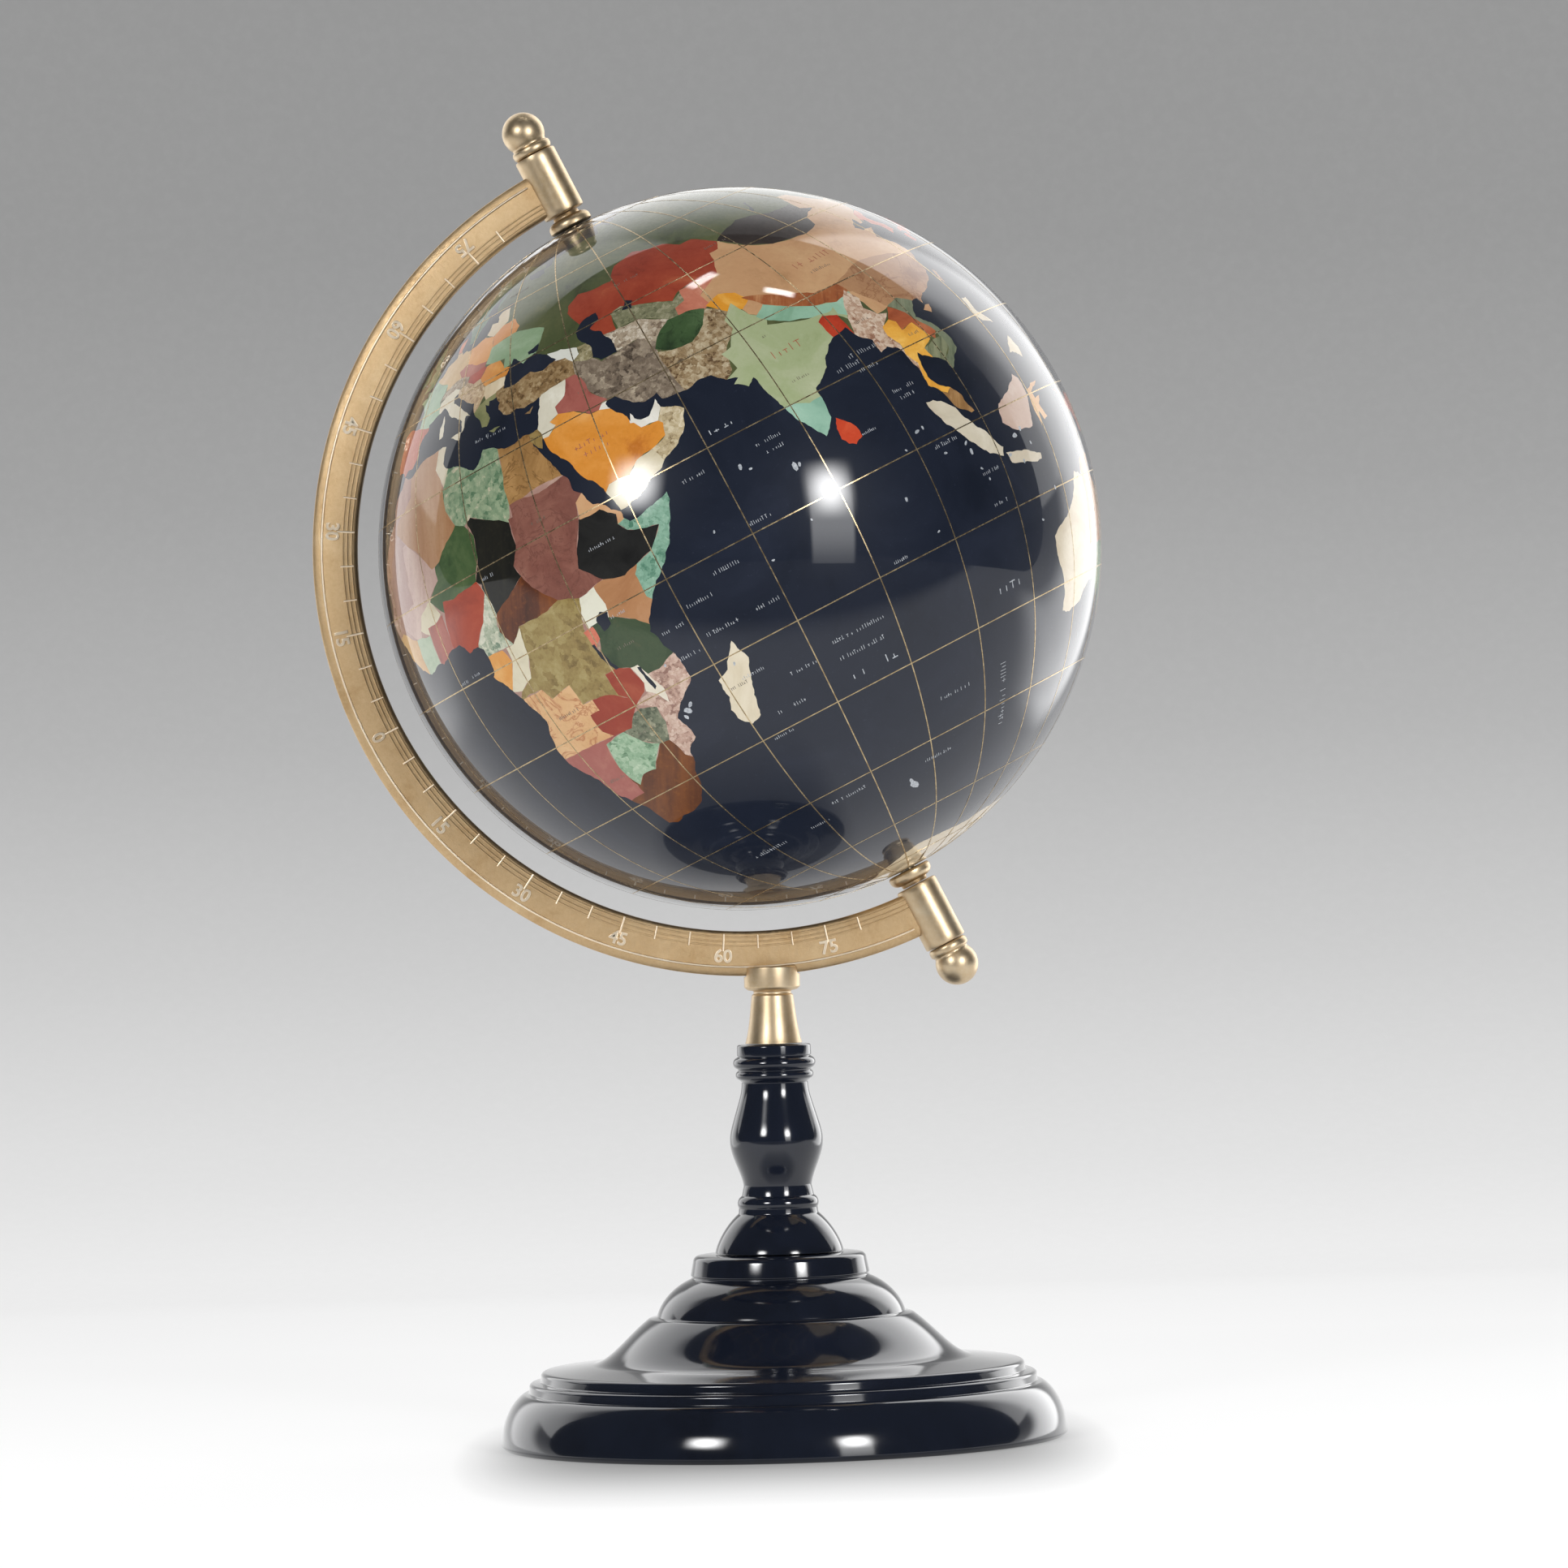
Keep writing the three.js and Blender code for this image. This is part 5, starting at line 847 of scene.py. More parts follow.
def meridian():
    a0 = math.atan2(AXIS[2], AXIS[0])
    v, f = sweep_data(ring_section()[::-1], a0, a0 + math.pi, 220)
    parts = [(v, f)]
    for s in (1, -1):
        profile = [(0, SLEEVE_FROM), (SLEEVE_R - 0.6, SLEEVE_FROM), (SLEEVE_R - 0.2, SLEEVE_FROM + 0.18),
                   (SLEEVE_R, SLEEVE_FROM + 0.6), (SLEEVE_R, SLEEVE_TO - 0.5), (SLEEVE_R - 0.12, SLEEVE_TO - 0.15),
                   (SLEEVE_R - 0.4, SLEEVE_TO), (0, SLEEVE_TO)]
        dense = []
        for p, q in zip(profile[:-1], profile[1:]):
            n = max(1, int(abs(q[1] - p[1]) / 1.2))
            dense += [(p[0] + (q[0] - p[0]) * i / n, p[1] + (q[1] - p[1]) * i / n) for i in range(n)]
        dense.append(profile[-1])
        parts.append(lathe_data(dense, CENTRE, AXIS * s, FRONT, 96))
    arm = make("half_meridian", *add(parts[:1]), BRASS_CAST, sharp=38)
    # a bead runs round each face near the outer edge, in pale polished brass that is made paler still as a painted
    # highlight
    beads = []
    for face in (-1, 1):
        sec = [(127.2 + 0.36 * math.cos(t), face * (ARM_HALF_DEPTH + 0.02) + 0.36 * math.sin(t))
               for t in np.linspace(0, 2 * math.pi, 11)[:-1]]
        beads.append(sweep_data(sec, a0 + 0.052, a0 + math.pi - 0.052, 220))
    finish_piece(make("meridian_beads", *add(beads), BRASS_PALE_PAINTED_GLINT, sharp=50), "stand", "brass")
    sleeves = make("bearing_sleeves", *add(parts[1:]), BRASS_TURNED)
    finish_piece(arm, "stand", "brass", "meridian_arm")
    finish_piece(sleeves, "stand", "brass")


def bar_on_ring(r0, r1, t, w, y0, y1):
    """Small raised bar across the ring's face, rounded along its top."""
    c, out = [], []
    for r in (r0, r1):
        for dy, k in ((y0, 1.0), (y1 * 0.8 + y0 * 0.2, 0.9), (y1, 0.45), (y1, -0.45), (y1 * 0.8 + y0 * 0.2, -0.9), (y0, -1.0)):
            out.append(ring_point(r, t + k * w / 2 / r, dy))
    for j in range(6):
        n = (j + 1) % 6
        c.append((j, n, n + 6, j + 6))
    c += [tuple(range(6))[::-1], tuple(range(6, 12))]
    return out, c


def orient(verts, faces):
    """Turns every closed shell's faces outwards (by signed volume)."""
    v = np.array(verts, float)
    ctr = v.mean(0)
    vol = 0.0
    for f in faces:
        for i in range(1, len(f) - 1):
            a, b, c = v[f[0]] - ctr, v[f[i]] - ctr, v[f[i + 1]] - ctr
            vol += float(np.dot(a, np.cross(b, c)))
    return (verts, faces) if vol > 0 else (verts, [tuple(reversed(f)) for f in faces])


def scale_marks():
    """Degree scale on both faces: a raised tick each 5 degrees and a plain number each 15."""
    parts = []
    a0 = math.atan2(AXIS[2], AXIS[0])
    d = ARM_HALF_DEPTH
    for face in (-1, 1):
        for k in range(1, 36):
            lat = 90 - 5 * k
            t = a0 + math.radians(90 - lat)
            if abs(lat) > 84:
                continue
            long = lat % 15 == 0
            r0, r1 = (117.3, 122.6) if long else (117.5, 121.6)
            parts.append(orient(*bar_on_ring(r0, r1, t, 0.7 if long else 0.6, face * (d - 0.32), face * (d + 0.36))))
    v, f = add(parts)
    # ticks in pale polished brass, paler still as a painted glint
    finish_piece(make("degree_ticks", v, f, BRASS_PALE_PAINTED_GLINT, sharp=50), "stand", "brass")

    # numbers, in raised figures that stand on the outer side of the ring
    for face, name in ((-1, "front"), (1, "back")):
        allv, allf = [], []
        for lat in (75, 60, 45, 30, 15, 0, -15, -30, -45, -60, -75):
            cu = bpy.data.curves.new("figure", "FONT")
            cu.body = str(abs(lat))
            cu.size = 0.0056
            cu.align_x, cu.align_y = "CENTER", "CENTER"
            cu.extrude = 0.0003
            cu.bevel_depth = 0.00012
            cu.bevel_resolution = 2
            cu.offset = 0.00006
            cu.resolution_u = 3
            ob = bpy.data.objects.new("figure", cu)
            bpy.context.scene.collection.objects.link(ob)
            bpy.context.view_layer.update()
            me = bpy.data.meshes.new_from_object(ob.evaluated_get(bpy.context.evaluated_depsgraph_get()))
            t = a0 + math.radians(90 - lat)
            up = -np.array([math.cos(t), 0.0, math.sin(t)])
            out = np.array([0.0, float(face), 0.0])
            right = np.cross(up, out)
            o = ring_point(124.2, t, face * (d + 0.02))
            k = len(allv)
            for vert in me.vertices:
                p = vert.co * 1000.0
                allv.append(o + right * p.x + up * p.y + out * p.z)
            allf += [tuple(i + k for i in p.vertices) for p in me.polygons]
            bpy.data.objects.remove(ob)
            bpy.data.curves.remove(cu)
            bpy.data.meshes.remove(me)
        # figures in pale polished brass, paler still as a painted glint
        ob = make("degree_figures_" + name, allv, allf, BRASS_PALE_PAINTED_GLINT, sharp=40)
        finish_piece(ob, "stand", "brass")


def pivots():
    pivot = [(0, 103.0), (2.1, 103.0), (2.5, 103.4), (2.5, 110.3), (6.3, 110.3), (6.8, 110.9)]
    pivot += arc(4.3, 111.6, 2.5, 2.3, 12, 90, 16) + [(4.0, 115.0), (0, 115.0)]
    band = arc(5.6, 136.9, 0.6, 1.25, -62, 62, 14)
    finial = [(0, 135.5), (5.6, 135.5)] + band + [(5.45, 138.3), (5.4, 138.6)] \
        + arc(0.0, 142.45, 6.5, 6.5, -33, 86, 40) + [(0, 148.95)]
    for s, end in ((1, "upper"), (-1, "lower")):
        v, f = lathe_data(rounded(pivot, 0.25), CENTRE, AXIS * s, FRONT, 96)
        finish_piece(make(end + "_pivot_turned", v, f, BRASS_TURNED), "stand", "brass", end + "_pivot")
        v, f = lathe_data(rounded(finial, 0.2), CENTRE, AXIS * s, FRONT, 112)
        finish_piece(make(end + "_finial_turned", v, f, BRASS_TURNED, sharp=34), "stand", "brass", end + "_finial")


# ------------------------------------------------------------------ globe
LON0 = -169.5
POLE_LAT = 90 - math.degrees(math.asin(SOCKET_R / GLOBE_R))


def direction(lon, lat):
    lon, lat = np.radians(np.asarray(lon, float) - FACING), np.radians(np.asarray(lat, float))
    return (np.cos(lat) * np.cos(lon))[..., None] * FRONT + (np.cos(lat) * np.sin(lon))[..., None] * SIDE \
        + np.sin(lat)[..., None] * AXIS


def read(text):
    return np.array([[float(v) for v in p.split(",")] for p in text.split()])


def worn(points, seed, step, amount):
    """Closed outline with each side broken up and a little irregular, as hand-cut stone is."""
    rnd = random.Random(seed)
    out = []
    n = len(points)
    for i in range(n):
        a, b = points[i], points[(i + 1) % n]
        cos = max(0.12, math.cos(math.radians((a[1] + b[1]) / 2)))
        edge = max(abs(a[0]), abs(b[0])) > 0 and ((abs(a[0] - LON0) < 1e-6 and abs(b[0] - LON0) < 1e-6)
                                                  or (abs(a[0] - LON0 - 360) < 1e-6 and abs(b[0] - LON0 - 360) < 1e-6)
                                                  or (a[1] < -86 and b[1] < -86))
        length = math.hypot((b[0] - a[0]) * cos, b[1] - a[1])

        def split(p, q, k):
            if k <= step:
                return [p]
            m = (p + q) / 2
            if not edge:
                d = q - p
                u = np.array([-d[1] / cos, d[0] * cos])
                norm = math.hypot(u[0] * cos, u[1]) or 1.0
                m = m + u / norm * rnd.uniform(-1, 1) * amount * k
            return split(p, m, k / 2) + split(m, q, k / 2)

        out += split(a, b, 0 if edge else length)
    return np.array(out)


def inside(poly, pts):
    """Even-odd test of many points against one outline."""
    hit = np.zeros(len(pts), bool)
    lo, hi = poly.min(0), poly.max(0)
    near = np.nonzero((pts[:, 0] >= lo[0]) & (pts[:, 0] <= hi[0]) & (pts[:, 1] >= lo[1]) & (pts[:, 1] <= hi[1]))[0]
    if not len(near):
        return hit
    x, y = pts[near, 0], pts[near, 1]
    c = np.zeros(len(near), bool)
    q = np.roll(poly, -1, 0)
    for (x0, y0), (x1, y1) in zip(poly, q):
        if y0 == y1:
            continue
        k = (y0 > y) != (y1 > y)
        c ^= k & (x < (x1 - x0) * (y - y0) / (y1 - y0) + x0)
    hit[near] = c
    return hit


def divide():
    """Splits the sphere's map into triangles that follow every outline; returns points, triangles, piece of each."""
    lands = {k: worn(read(s), "land " + k, 0.8, 0.10) for k, s in LAND.items()}
    waters = {k: worn(read(s), "water " + k, 0.6, 0.09) for k, s in WATER.items()}
    states = [(land, name, worn(read(s), "state " + name, 1.1, 0.055)) for land, name, s in COUNTRY]

    verts, edges = [], []

    def loop(poly):
        k = len(verts)
        n = len(poly)
        verts.extend((float(x), float(y)) for x, y in poly)
        edges.extend((k + i, k + (i + 1) % n) for i in range(n))

    side = [(LON0, float(y)) for y in np.linspace(-POLE_LAT, POLE_LAT, 89)]
    for x in (-78.0, -87.5):
        side.append((LON0, x))
    side = sorted(set(side), key=lambda p: p[1])
    top = [(float(x), POLE_LAT) for x in np.linspace(LON0, LON0 + 360, 73)][1:-1]
    ring = [(x, y) for x, y in side] + top + [(x + 360, y) for x, y in side[::-1]] + [(x, -y) for x, y in top[::-1]]
    loop(ring)
    for p in list(lands.values()) + list(waters.values()) + [s[2] for s in states]:
        inner = p.copy()
        inner[:, 0] = np.clip(inner[:, 0], LON0, LON0 + 360)
        inner[:, 1] = np.clip(inner[:, 1], -POLE_LAT + 0.2, POLE_LAT - 0.2)
        loop(inner)
    for lat in np.arange(-86, 87, 2.0):
        n = max(24, int(round(360 * math.cos(math.radians(lat)) / 2.0)))
        for i in range(n):
            verts.append((LON0 + 360 * (i + 0.5) / n, float(lat)))
    pts, _, tris, *_ = delaunay_2d_cdt([Vector(v) for v in verts], edges, [], 0, 1e-6, False)
    pts = np.array([[p.x, p.y] for p in pts])
    faces = []
    for t in tris:
        for i in range(1, len(t) - 1):
            faces.append((t[0], t[i], t[i + 1]))
    faces = np.array(faces)
    a, b, c = pts[faces[:, 0]], pts[faces[:, 1]], pts[faces[:, 2]]
    area = (b[:, 0] - a[:, 0]) * (c[:, 1] - a[:, 1]) - (b[:, 1] - a[:, 1]) * (c[:, 0] - a[:, 0])
    faces = faces[np.abs(area) > 1e-7]
    area = area[np.abs(area) > 1e-7]
    faces[area < 0] = faces[area < 0][:, ::-1]
    mid = pts[faces].mean(1)

    names = ["ocean"]
    index = {"ocean": 0}

    def ident(n):
        n = SAME.get(n, n)
        if n not in index:
            index[n] = len(names)
            names.append(n)
        return index[n]

    kind = np.zeros(len(faces), int)
    where = {}
    for land, poly in lands.items():
        hit = inside(poly, mid)
        where[land] = hit
        kind[hit] = ident(REMAINDER.get(land) or WHOLE.get(land, "pale_islands"))
    for land, name, poly in states:
        kind[inside(poly, mid) & where[land]] = ident(name)
    for poly in waters.values():
        kind[inside(poly, mid)] = 0
    return pts, faces, kind, names


def shell(name, pts, faces, mat, low, high):
    """Closed thin solid over the given triangles, with true sphere normals on its top."""
    used, inv = np.unique(faces.ravel(), return_inverse=True)
    f = inv.reshape(-1, 3)
    d = direction(pts[used, 0], pts[used, 1])
    # join the two sides of the seam
    key = np.round(d * 1e6).astype(np.int64)
    _, first, join = np.unique(key, axis=0, return_index=True, return_inverse=True)
    join = join.ravel()
    f = join[f]
    d = d[first]
    f = f[(f[:, 0] != f[:, 1]) & (f[:, 1] != f[:, 2]) & (f[:, 0] != f[:, 2])]
    n = len(d)
    verts = np.concatenate([CENTRE + d * high, CENTRE + d * low])
    seen = {}
    for t in f:
        for i in range(3):
            seen[(t[i], t[(i + 1) % 3])] = True
    wall = [(a, b) for a, b in seen if (b, a) not in seen]
    quads = [(b, a, a + n, b + n) for a, b in wall]
    tris = [tuple(t) for t in f] + [tuple(t[::-1] + n) for t in f]
    return build_smooth(name, verts, tris, quads, len(f), mat)


def build_smooth(name, verts, tris, quads, top, mat):
    """Mesh whose first triangles get exact sphere normals; the rest stay flat."""
    me = bpy.data.meshes.new(name)
    faces = [tuple(int(i) for i in t) for t in tris] + [tuple(int(i) for i in q) for q in quads]
    me.from_pydata([tuple(v * 0.001) for v in verts], [], faces)
    me.update()
    smooth = np.zeros(len(me.polygons), bool)
    smooth[:top] = True
    me.polygons.foreach_set("use_smooth", smooth)
    normals = np.zeros((len(me.loops), 3), np.float32)
    vi = np.zeros(len(me.loops), np.int32)
    me.loops.foreach_get("vertex_index", vi)
    start = np.zeros(len(me.polygons), np.int32)
    total = np.zeros(len(me.polygons), np.int32)
    me.polygons.foreach_get("loop_start", start)
    me.polygons.foreach_get("loop_total", total)
    pn = np.zeros(len(me.polygons) * 3, np.float32)
    me.polygons.foreach_get("normal", pn)
    pn = pn.reshape(-1, 3)
    owner = np.repeat(np.arange(len(me.polygons)), total)
    d = np.asarray(verts)[vi] - CENTRE
    d /= np.linalg.norm(d, axis=1)[:, None]
    normals[:] = np.where((owner < top)[:, None], d, pn[owner])
    me.normals_split_custom_set([tuple(v) for v in normals.tolist()])
    me.materials.append(mat)
    ob = bpy.data.objects.new(name, me)
    bpy.context.scene.collection.objects.link(ob)
    return ob


def ground(pts, faces, kind):
    """The ball itself: at full height where the sea shows, and sunk under each stone, with a bearing hole at each pole."""
    d = direction(pts[:, 0], pts[:, 1])
    key = np.round(d * 1e6).astype(np.int64)
    _, first, join = np.unique(key, axis=0, return_index=True, return_inverse=True)
    join = join.ravel()
    f = join[faces]
    d = d[first]
    lat = np.degrees(np.arcsin(np.clip(d @ AXIS, -1, 1)))
    ok = (f[:, 0] != f[:, 1]) & (f[:, 1] != f[:, 2]) & (f[:, 0] != f[:, 2])
    f, sea = f[ok], (kind[ok] == 0)
    n = len(d)
    low = GLOBE_R - STONE_DEPTH - 0.02
    verts = [CENTRE + d * GLOBE_R, CENTRE + d * low]
    tris = [tuple(t) for t in f[sea]] + [tuple(t + n) for t in f[~sea]]
    seen = set()
    for t in f[sea]:
        for i in range(3):
            seen.add((t[i], t[(i + 1) % 3]))
    quads, rims = [], {1: [], -1: []}
    for a, b in seen:
        if (b, a) in seen:
            continue
        if abs(lat[a]) > POLE_LAT - 0.05 and abs(lat[b]) > POLE_LAT - 0.05:
            rims[1 if lat[a] > 0 else -1].append((a, b))
        else:
            quads.append((b, a, a + n, b + n))
    count = 2 * n
    for s, rim in rims.items():
        sunk, deep = {}, GLOBE_R - SOCKET_DEPTH
        extra = []
        for a, b in rim:
            for i in (a, b):
                if i not in sunk:
                    p = d[i] * GLOBE_R
                    across = p - AXIS * float(p @ AXIS)
                    sunk[i] = count + len(extra)
                    extra.append(CENTRE + across + AXIS * s * deep)
            quads.append((b, a, sunk[a], sunk[b]))
        mid = count + len(extra)
        extra.append(CENTRE + AXIS * s * deep)
        for a, b in rim:
            tris.append((sunk[b], sunk[a], mid))
        verts.append(np.array(extra))
        count += len(extra)
    verts = np.concatenate(verts)
    top = int(sea.sum())
    order = [t for t in tris]
    # drop points that no face uses
    used = sorted({int(i) for t in order for i in t} | {int(i) for q in quads for i in q})
    remap = {o: k for k, o in enumerate(used)}
    order = [tuple(remap[int(i)] for i in t) for t in order]
    quads = [tuple(remap[int(i)] for i in q) for q in quads]
    return build_smooth("globe_ball", verts[used], order, quads, top, OCEAN)


def ribbon(points, across, width, low, high):
    """Thin closed strip with a flat top along unit directions; across is the sideways unit vector at each."""
    verts, faces = [], []
    h = width / 2
    section = [(-h, low), (-h, high), (h, high), (h, low)]
    k = len(section)
    for p, a in zip(points, across):
        verts += [CENTRE + p * r + a * x for x, r in section]
    m = len(points)
    for i in range(m - 1):
        for j in range(k):
            a, b = i * k + j, i * k + (j + 1) % k
            faces.append((a, b, b + k, a + k))
    return verts, faces, m, k


def graticule():
    """Gold lines each 15 degrees, set in the ball and standing a few hundredths proud."""
    parts = []
    low, high = GLOBE_R - 0.35, GLOBE_R + 0.02
    for k in range(24):
        lon = -180.0 + 15 * k
        lats = np.linspace(-86, 86, 260)
        p = direction(np.full(len(lats), lon), lats)
        east = direction(np.array([lon + 90.0]), np.array([0.0]))[0]
        v, f, m, n = ribbon(p, [east] * len(p), 0.34, low, high)
        f.append(tuple(range(n)))
        f.append(tuple(range((m - 1) * n, m * n))[::-1])
        parts.append(orient(v, f))
    for lat in range(-75, 90, 15):
        n = max(72, int(480 * math.cos(math.radians(lat))))
        lons = np.linspace(0, 360, n + 1)
        p = direction(lons, np.full(len(lons), float(lat)))
        north = [AXIS * math.cos(math.radians(lat)) - (q - AXIS * float(q @ AXIS)) / max(1e-6, math.cos(math.radians(lat)))
                 * math.sin(math.radians(lat)) for q in p]
        v, f, m, k = ribbon(p, north, 0.34, low, high)
        # close the loop on itself
        v = v[:(m - 1) * k]
        f = [tuple(i % ((m - 1) * k) for i in g) for g in f]
        parts.append(orient(v, f))
    v, f = add(parts)
    return make("gold_graticule", v, f, WIRE, sharp=60)


def stroke(o, u, w, n, length, wide, low, high):
    """Small flat bar at o along u, as a closed box that stands a little proud."""
    verts = []
    for a, b in ((-1, -1), (1, -1), (1, 1), (-1, 1)):
        for r in (low, high):
            verts.append(o + u * a * length / 2 + w * b * wide / 2 + n * r)
    f = [(0, 2, 3, 1), (2, 4, 5, 3), (4, 6, 7, 5), (6, 0, 1, 7), (1, 3, 5, 7), (6, 4, 2, 0)]
    return orient(verts, f)


def marks():
    """Rows of short strokes set in the map as fine trim, and small islets."""
    white, red, dark = [], [], []

    def row(into, lon, lat, length, height, seed, bold=0.2, turn=0.0, pitch=0.62, up=True):
        rnd = random.Random(seed)
        n0 = direction(np.array([lon]), np.array([lat]))[0]
        east = np.cross(AXIS, n0)
        east /= np.linalg.norm(east)
        north = np.cross(n0, east)
        if turn:
            c, s = math.cos(math.radians(turn)), math.sin(math.radians(turn))
            east, north = east * c + north * s, north * c - east * s
        x = -length / 2
        while x < length / 2:
            step = height * rnd.uniform(0.75, 1.25) * pitch
            tall = height * rnd.choice((1.0, 1.0, 0.72, 0.72, 0.55))
            p = n0 * GLOBE_R + east * (x + step / 2)
            n = p / np.linalg.norm(p)
            u, w = (north, east)
            shift = (tall - height) / 2
            kind = rnd.random()
            base = CENTRE + n * GLOBE_R + north * shift
            if kind < 0.62:
                into.append(stroke(base, u, w, n, tall, bold, -0.15, 0.035))
            elif kind < 0.84:
                into.append(stroke(base, u, w, n, tall, bold, -0.15, 0.035))
                into.append(stroke(base + north * tall * rnd.choice((-0.4, 0.0, 0.4)), w, u, n, step * 0.8, bold, -0.15, 0.033))
            x += step
            if rnd.random() < 0.1:
                x += step * 0.7

    for k, (lon, lat, length, height) in enumerate(ROWS_WHITE):
        row(white, lon, lat, length, height, "white%d" % k, bold=0.16 if height < 1.5 else 0.3,
            pitch=0.62 if height < 1.5 else 1.15)
    for k, (lon, lat, length, height, turn) in enumerate(ROWS_TURNED):
        row(white, lon, lat, length, height, "turned%d" % k, bold=0.16, turn=turn)
    for k, (lon, lat, length, height) in enumerate(ROWS_RED):
        row(red, lon, lat, length, height, "red%d" % k, bold=0.22, pitch=0.9)
    for k, (lon, lat, length, height) in enumerate(ROWS_DARK):
        row(dark, lon, lat, length, height, "dark%d" % k, bold=0.16)
    rnd = random.Random("islets")
    for lon, lat, size in ISLETS:
        n0 = direction(np.array([lon]), np.array([lat]))[0]
        east = np.cross(AXIS, n0)
        east /= np.linalg.norm(east)
        north = np.cross(n0, east)
        t = rnd.uniform(0, math.pi)
        u = east * math.cos(t) + north * math.sin(t)
        w = np.cross(n0, u)
        ring = []
        for i in range(7):
            a = 2 * math.pi * i / 7
            q = size * rnd.uniform(0.75, 1.1) / 2
            ring.append((q * math.cos(a) * 1.35, q * math.sin(a) * 0.8))
        v = [CENTRE + n0 * (GLOBE_R + h) + u * x + w * y for h in (-0.2, 0.035) for x, y in ring]
        f = [tuple(range(7))[::-1], tuple(range(7, 14))] + [(i, (i + 1) % 7, 7 + (i + 1) % 7, 7 + i) for i in range(7)]
        white.append(orient(v, f))
    for name, parts, mat in (("marks_white", white, MARK_WHITE), ("marks_red", red, MARK_RED), ("marks_dark", dark, MARK_DARK)):
        v, f = add(parts)
        finish_piece(make(name, v, f, mat, smooth=False), "globe", "stone_inlay")


def globe():
    pts, faces, kind, names = divide()
    finish_piece(ground(pts, faces, kind), "globe", "stone_inlay", "globe")
    for i, name in enumerate(names):
        sel = faces[kind == i]
        if i == 0 or not len(sel):
            continue
        k, cols, scale, turn = STONES[name]
        mat = stone_material(name, k, cols, scale, (0, math.radians(turn), 0), i)
        ob = shell("stone_" + name, pts, sel, mat, GLOBE_R - STONE_DEPTH, GLOBE_R)
        finish_piece(ob, "globe", "stone_inlay")
    finish_piece(graticule(), "globe", "stone_inlay")
    marks()


# ------------------------------------------------------------------ stage, light and camera
def backdrop_material():
    m = Mat("paper_painted_light_and_shade")
    c = m.node("ShaderNodeTexCoord")
    s = m.node("ShaderNodeSeparateXYZ")
    m.link(c.outputs["Object"], s.inputs[0])
    x, y, h = s.outputs["X"], s.outputs["Y"], s.outputs["Z"]

    def spread(value, lo, hi):
        n = m.node("ShaderNodeMapRange")
        n.interpolation_type = "SMOOTHSTEP"
        n.inputs["From Min"].default_value = lo
        n.inputs["From Max"].default_value = hi
        m.link(value, n.inputs["Value"])
        return n.outputs["Result"]

    # painted shade: the paper's colour and emission turn dark a little in front of the object, so that little bright
    # floor shows in reflections
    front = spread(y, -0.46, -0.72)
    # the paper's own colour is kept dark above the floor, so that its brightness is the painted light set as emission
    base = m.ramp(h, [(0.0, grey(0.25)), (0.012, grey(0.08)), (0.05, grey(0.02)), (1.0, grey(0.02))], "LINEAR")
    fibre = m.noise(m.coords(), 240.0, 4.0, 0.6)
    base = m.mix(m.ramp(fibre, [(0.3, grey(0.0)), (0.8, grey(0.05))]), base, grey(0.3))
    base = m.mix(front, base, grey(0.03))
    m.link(base, m.b.inputs["Base Color"])
    # painted light: the paper glows white at the floor, fading to mid grey higher up, and glows whiter on the floor
    # towards the front, in place of light from the lamps
    painted_light_and_shade = m.ramp(h, [(0.0, grey(0.71)), (0.0085, grey(0.77)), (0.02, grey(0.78)), (0.06, grey(0.72)), (0.124, grey(0.59)),
                      (0.216, grey(0.44)), (0.317, grey(0.345)), (0.42, grey(0.295)), (0.6, grey(0.28))], "LINEAR")
    painted_light_and_shade = m.mix(spread(y, 0.45, -0.4), painted_light_and_shade, grey(0.83))
    # painted contact shadow: the paper's emission is darker close round the base of the stand
    side = m.math("POWER", m.math("ABSOLUTE", m.math("MULTIPLY", x, 10.0)), 6.0)
    deep = m.math("POWER", m.math("ABSOLUTE", m.math("DIVIDE", m.math("ADD", y, 0.035), 0.19)), 2.0)
    near = m.math("SQRT", m.math("ADD", side, deep))
    painted_contact_shadow = m.ramp(near, [(0.0, grey(0.22)), (0.33, grey(0.33)), (0.484, grey(0.48)), (0.637, grey(0.66)), (0.784, grey(0.82)),
                         (0.937, grey(0.94)), (1.0, grey(1.0))], "LINEAR")
    painted_light_and_shade = m.mix(1.0, painted_light_and_shade, painted_contact_shadow, "MULTIPLY")
    # painted shade in front of the object, as above
    painted_light_and_shade = m.mix(front, painted_light_and_shade, grey(0.13))
    # painted light: bright glowing patches of the paper, above and on both sides, standing in for lit walls seen in
    # reflections
    behind = spread(y, 0.1, 0.4)
    top = m.math("MULTIPLY", spread(h, 0.54, 0.6), spread(h, 2.2, 1.0))
    left = m.math("MULTIPLY", m.math("MULTIPLY", spread(x, -0.4, -0.54), spread(x, -1.7, -1.1)), behind)
    right = m.math("MULTIPLY", m.math("MULTIPLY", spread(x, 0.4, 0.52), spread(x, 1.75, 1.1)), behind)
    painted_light_and_shade = m.mix(top, painted_light_and_shade, grey(1.5))
    painted_light_and_shade = m.mix(left, painted_light_and_shade, grey(1.6))
    painted_light_and_shade = m.mix(right, painted_light_and_shade, grey(2.8))
    m.link(painted_light_and_shade, m.b.inputs["Emission Color"])
    m.set(Emission_Strength=1.0)
    m.set(Roughness=0.85, Specular_IOR_Level=0.1)
    return m.m


def stage():
    profile = [(-3.0, 0.0), (0.45, 0.0)]
    r = 0.55
    for t in np.linspace(-90, 0, 19)[1:]:
        profile.append((0.45 + r * math.cos(math.radians(t)), r + r * math.sin(math.radians(t))))
    profile.append((0.45 + r, 2.4))
    xs = np.linspace(-2.6, 2.6, 9)
    verts = [(x * 1000, y * 1000, z * 1000 - 0.02) for y, z in profile for x in xs]
    k = len(xs)
    faces = [(i * k + j, i * k + j + 1, (i + 1) * k + j + 1, (i + 1) * k + j)
             for i in range(len(profile) - 1) for j in range(k - 1)]
    make("seamless_backdrop", verts, faces, backdrop_material(), sharp=60)


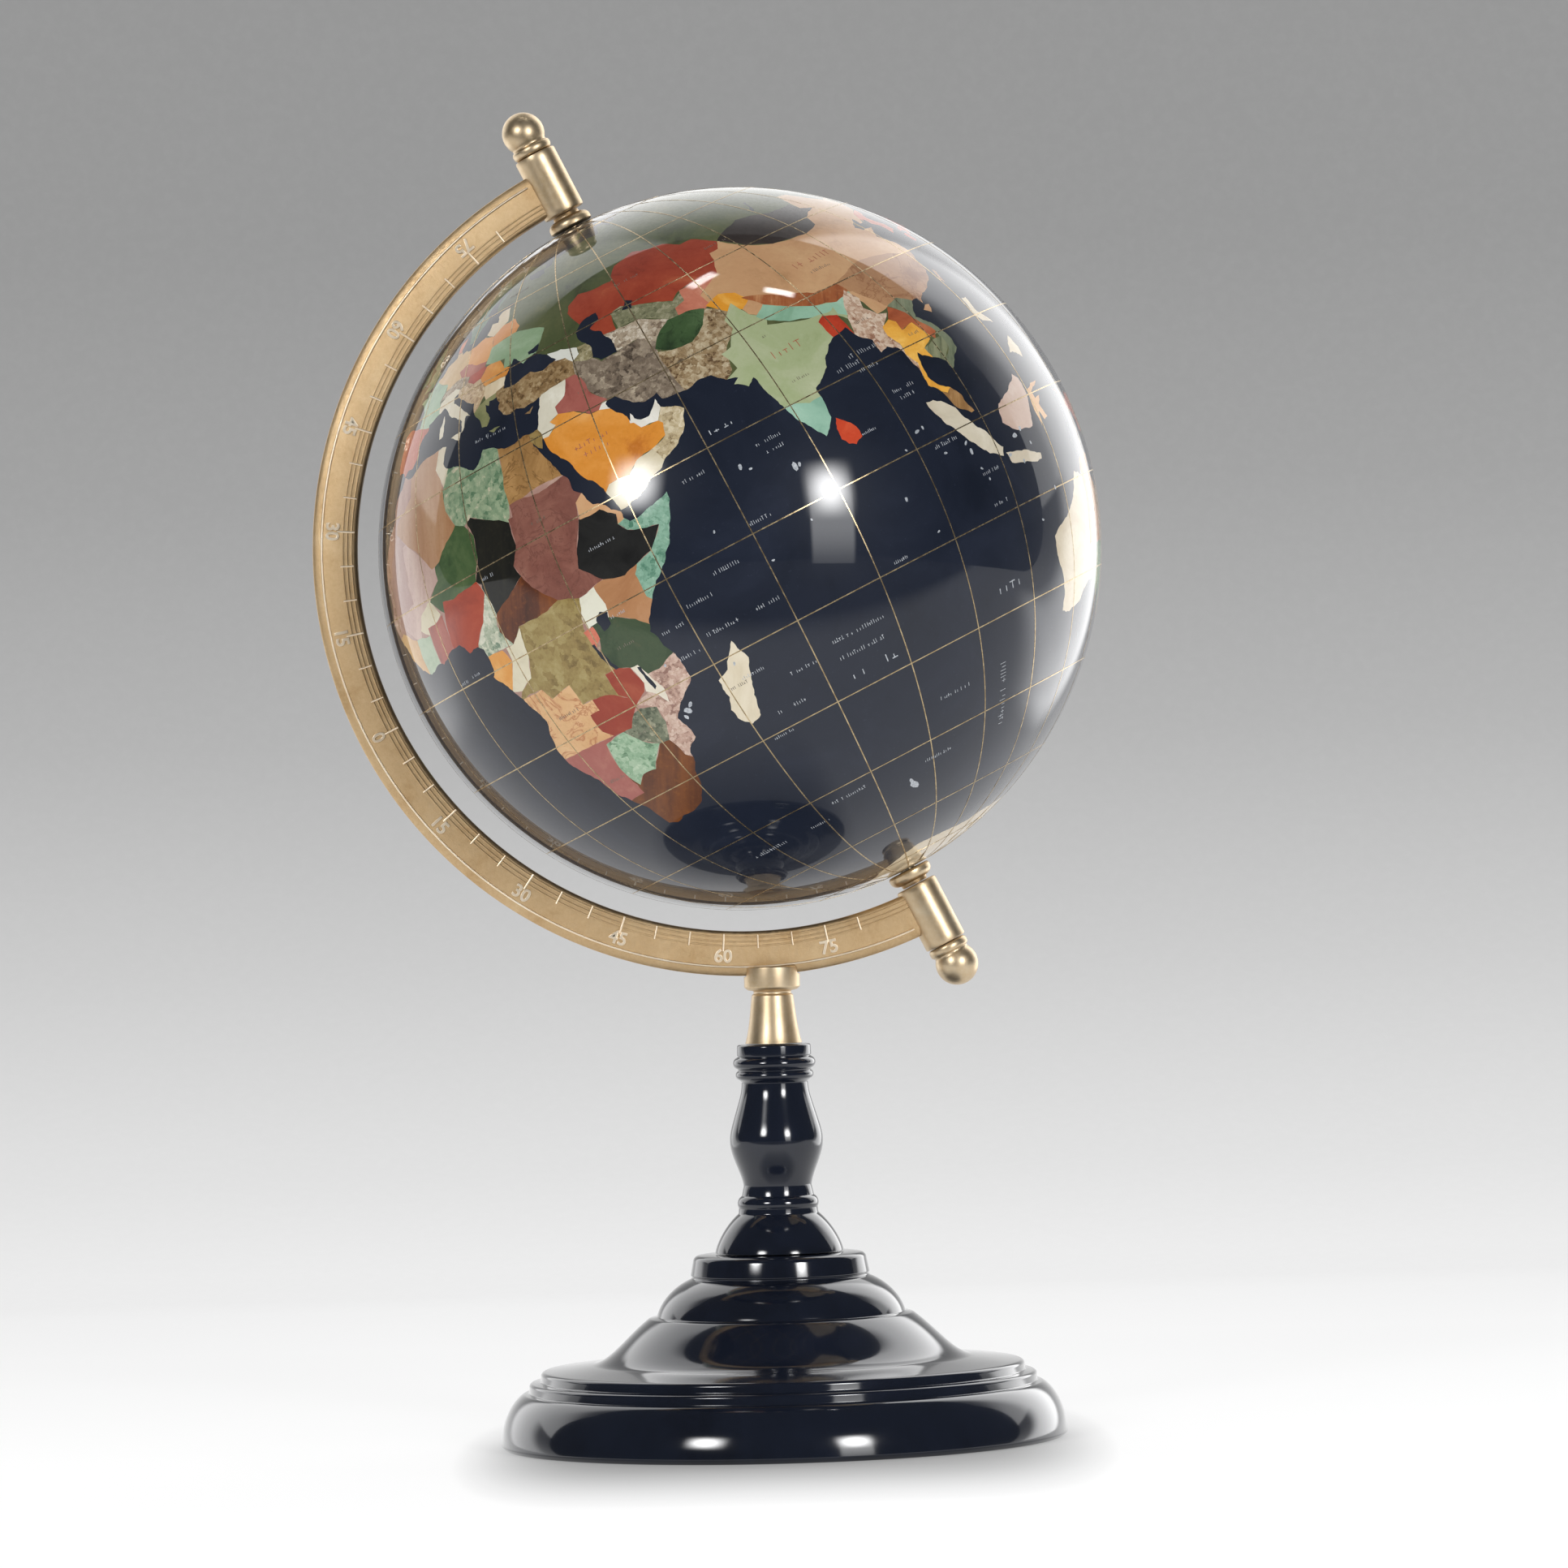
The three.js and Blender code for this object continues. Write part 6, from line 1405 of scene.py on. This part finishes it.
def soft_light(name, place, aim, wide, high, power, soft=(0.25, 0.25), along=None):
    """Studio panel whose face fades towards its edges; along turns its wide side."""
    li = bpy.data.lights.new(name, "AREA")
    li.shape = "RECTANGLE"
    li.size, li.size_y = wide, high
    li.energy = power
    li.use_nodes = True
    nt = li.node_tree
    em = next(n for n in nt.nodes if n.type == "EMISSION")
    geo = nt.nodes.new("ShaderNodeNewGeometry")
    sep = nt.nodes.new("ShaderNodeSeparateXYZ")
    nt.links.new(geo.outputs["Parametric"], sep.inputs[0])
    fall = None
    for axis, edge in (("X", soft[0]), ("Y", soft[1])):
        d = nt.nodes.new("ShaderNodeMath")
        d.operation = "PINGPONG"
        d.inputs[1].default_value = 0.5
        nt.links.new(sep.outputs[axis], d.inputs[0])
        mr = nt.nodes.new("ShaderNodeMapRange")
        mr.interpolation_type = "SMOOTHSTEP"
        mr.inputs["From Min"].default_value = 0.0
        mr.inputs["From Max"].default_value = edge
        nt.links.new(d.outputs[0], mr.inputs["Value"])
        if fall is None:
            fall = mr.outputs["Result"]
        else:
            mu = nt.nodes.new("ShaderNodeMath")
            mu.operation = "MULTIPLY"
            nt.links.new(fall, mu.inputs[0])
            nt.links.new(mr.outputs["Result"], mu.inputs[1])
            fall = mu.outputs[0]
    nt.links.new(fall, em.inputs["Strength"])
    ob = bpy.data.objects.new(name, li)
    bpy.context.scene.collection.objects.link(ob)
    ob.location = place
    back = (Vector(place) - Vector(aim)).normalized()
    across = Vector(along) if along else Vector((0, 0, 1)).cross(back)
    across = (across - back * across.dot(back)).normalized()
    ob.matrix_world = Matrix((across, back.cross(across), back)).transposed().to_4x4()
    ob.location = place
    return ob


def lights():
    g = (-0.006, 0.0, 0.272)
    soft_light("key_left", (-1.924, -2.934, 1.468), g, 1.3, 1.3, 195, (0.5, 0.5))
    soft_light("key_right", (1.726, -3.109, 1.302), g, 1.2, 1.3, 180, (0.5, 0.5))
    soft_light("strip_right", (1.198, -2.177, 0.571), g, 0.66, 1.7, 19, (0.1, 0.5))
    soft_light("tube_left", (-0.24, 0.071, 2.332), g, 0.33, 0.12, 2.0, (0.2, 0.25), (0.746, 0.665, 0.047))
    soft_light("tube_right", (0.363, -0.117, 2.314), g, 0.29, 0.11, 2.2, (0.2, 0.25), (0.981, -0.076, -0.18))
    w = bpy.data.worlds.new("studio")
    bpy.context.scene.world = w
    w.use_nodes = True
    bg = w.node_tree.nodes["Background"]
    bg.inputs["Color"].default_value = (0.9, 0.95, 1.0, 1)
    bg.inputs["Strength"].default_value = 0.07


def camera():
    cam = bpy.data.cameras.new("camera")
    cam.lens, cam.sensor_width, cam.sensor_fit = 203.6, 36.0, "HORIZONTAL"
    cam.clip_end = 50
    ob = bpy.data.objects.new("camera", cam)
    bpy.context.scene.collection.objects.link(ob)
    place, aim, roll = Vector((0.0, -2.7, 0.216)), Vector((0.00534, 0.0, 0.20005)), math.radians(1.6)
    f = (aim - place).normalized()
    r = f.cross(Vector((0, 0, 1))).normalized()
    u = r.cross(f)
    x = r * math.cos(roll) - u * math.sin(roll)
    y = r * math.sin(roll) + u * math.cos(roll)
    m = Matrix((x, y, -f)).transposed().to_4x4()
    m.translation = place
    ob.matrix_world = m
    bpy.context.scene.camera = ob
    v = bpy.context.scene.view_settings
    v.view_transform = "Standard"
    v.look = "None"
    v.exposure = 0.0


camera()
stage()
lights()
stand()
ferrule()
meridian()
scale_marks()
pivots()
globe()

bpy.context.view_layer.update()
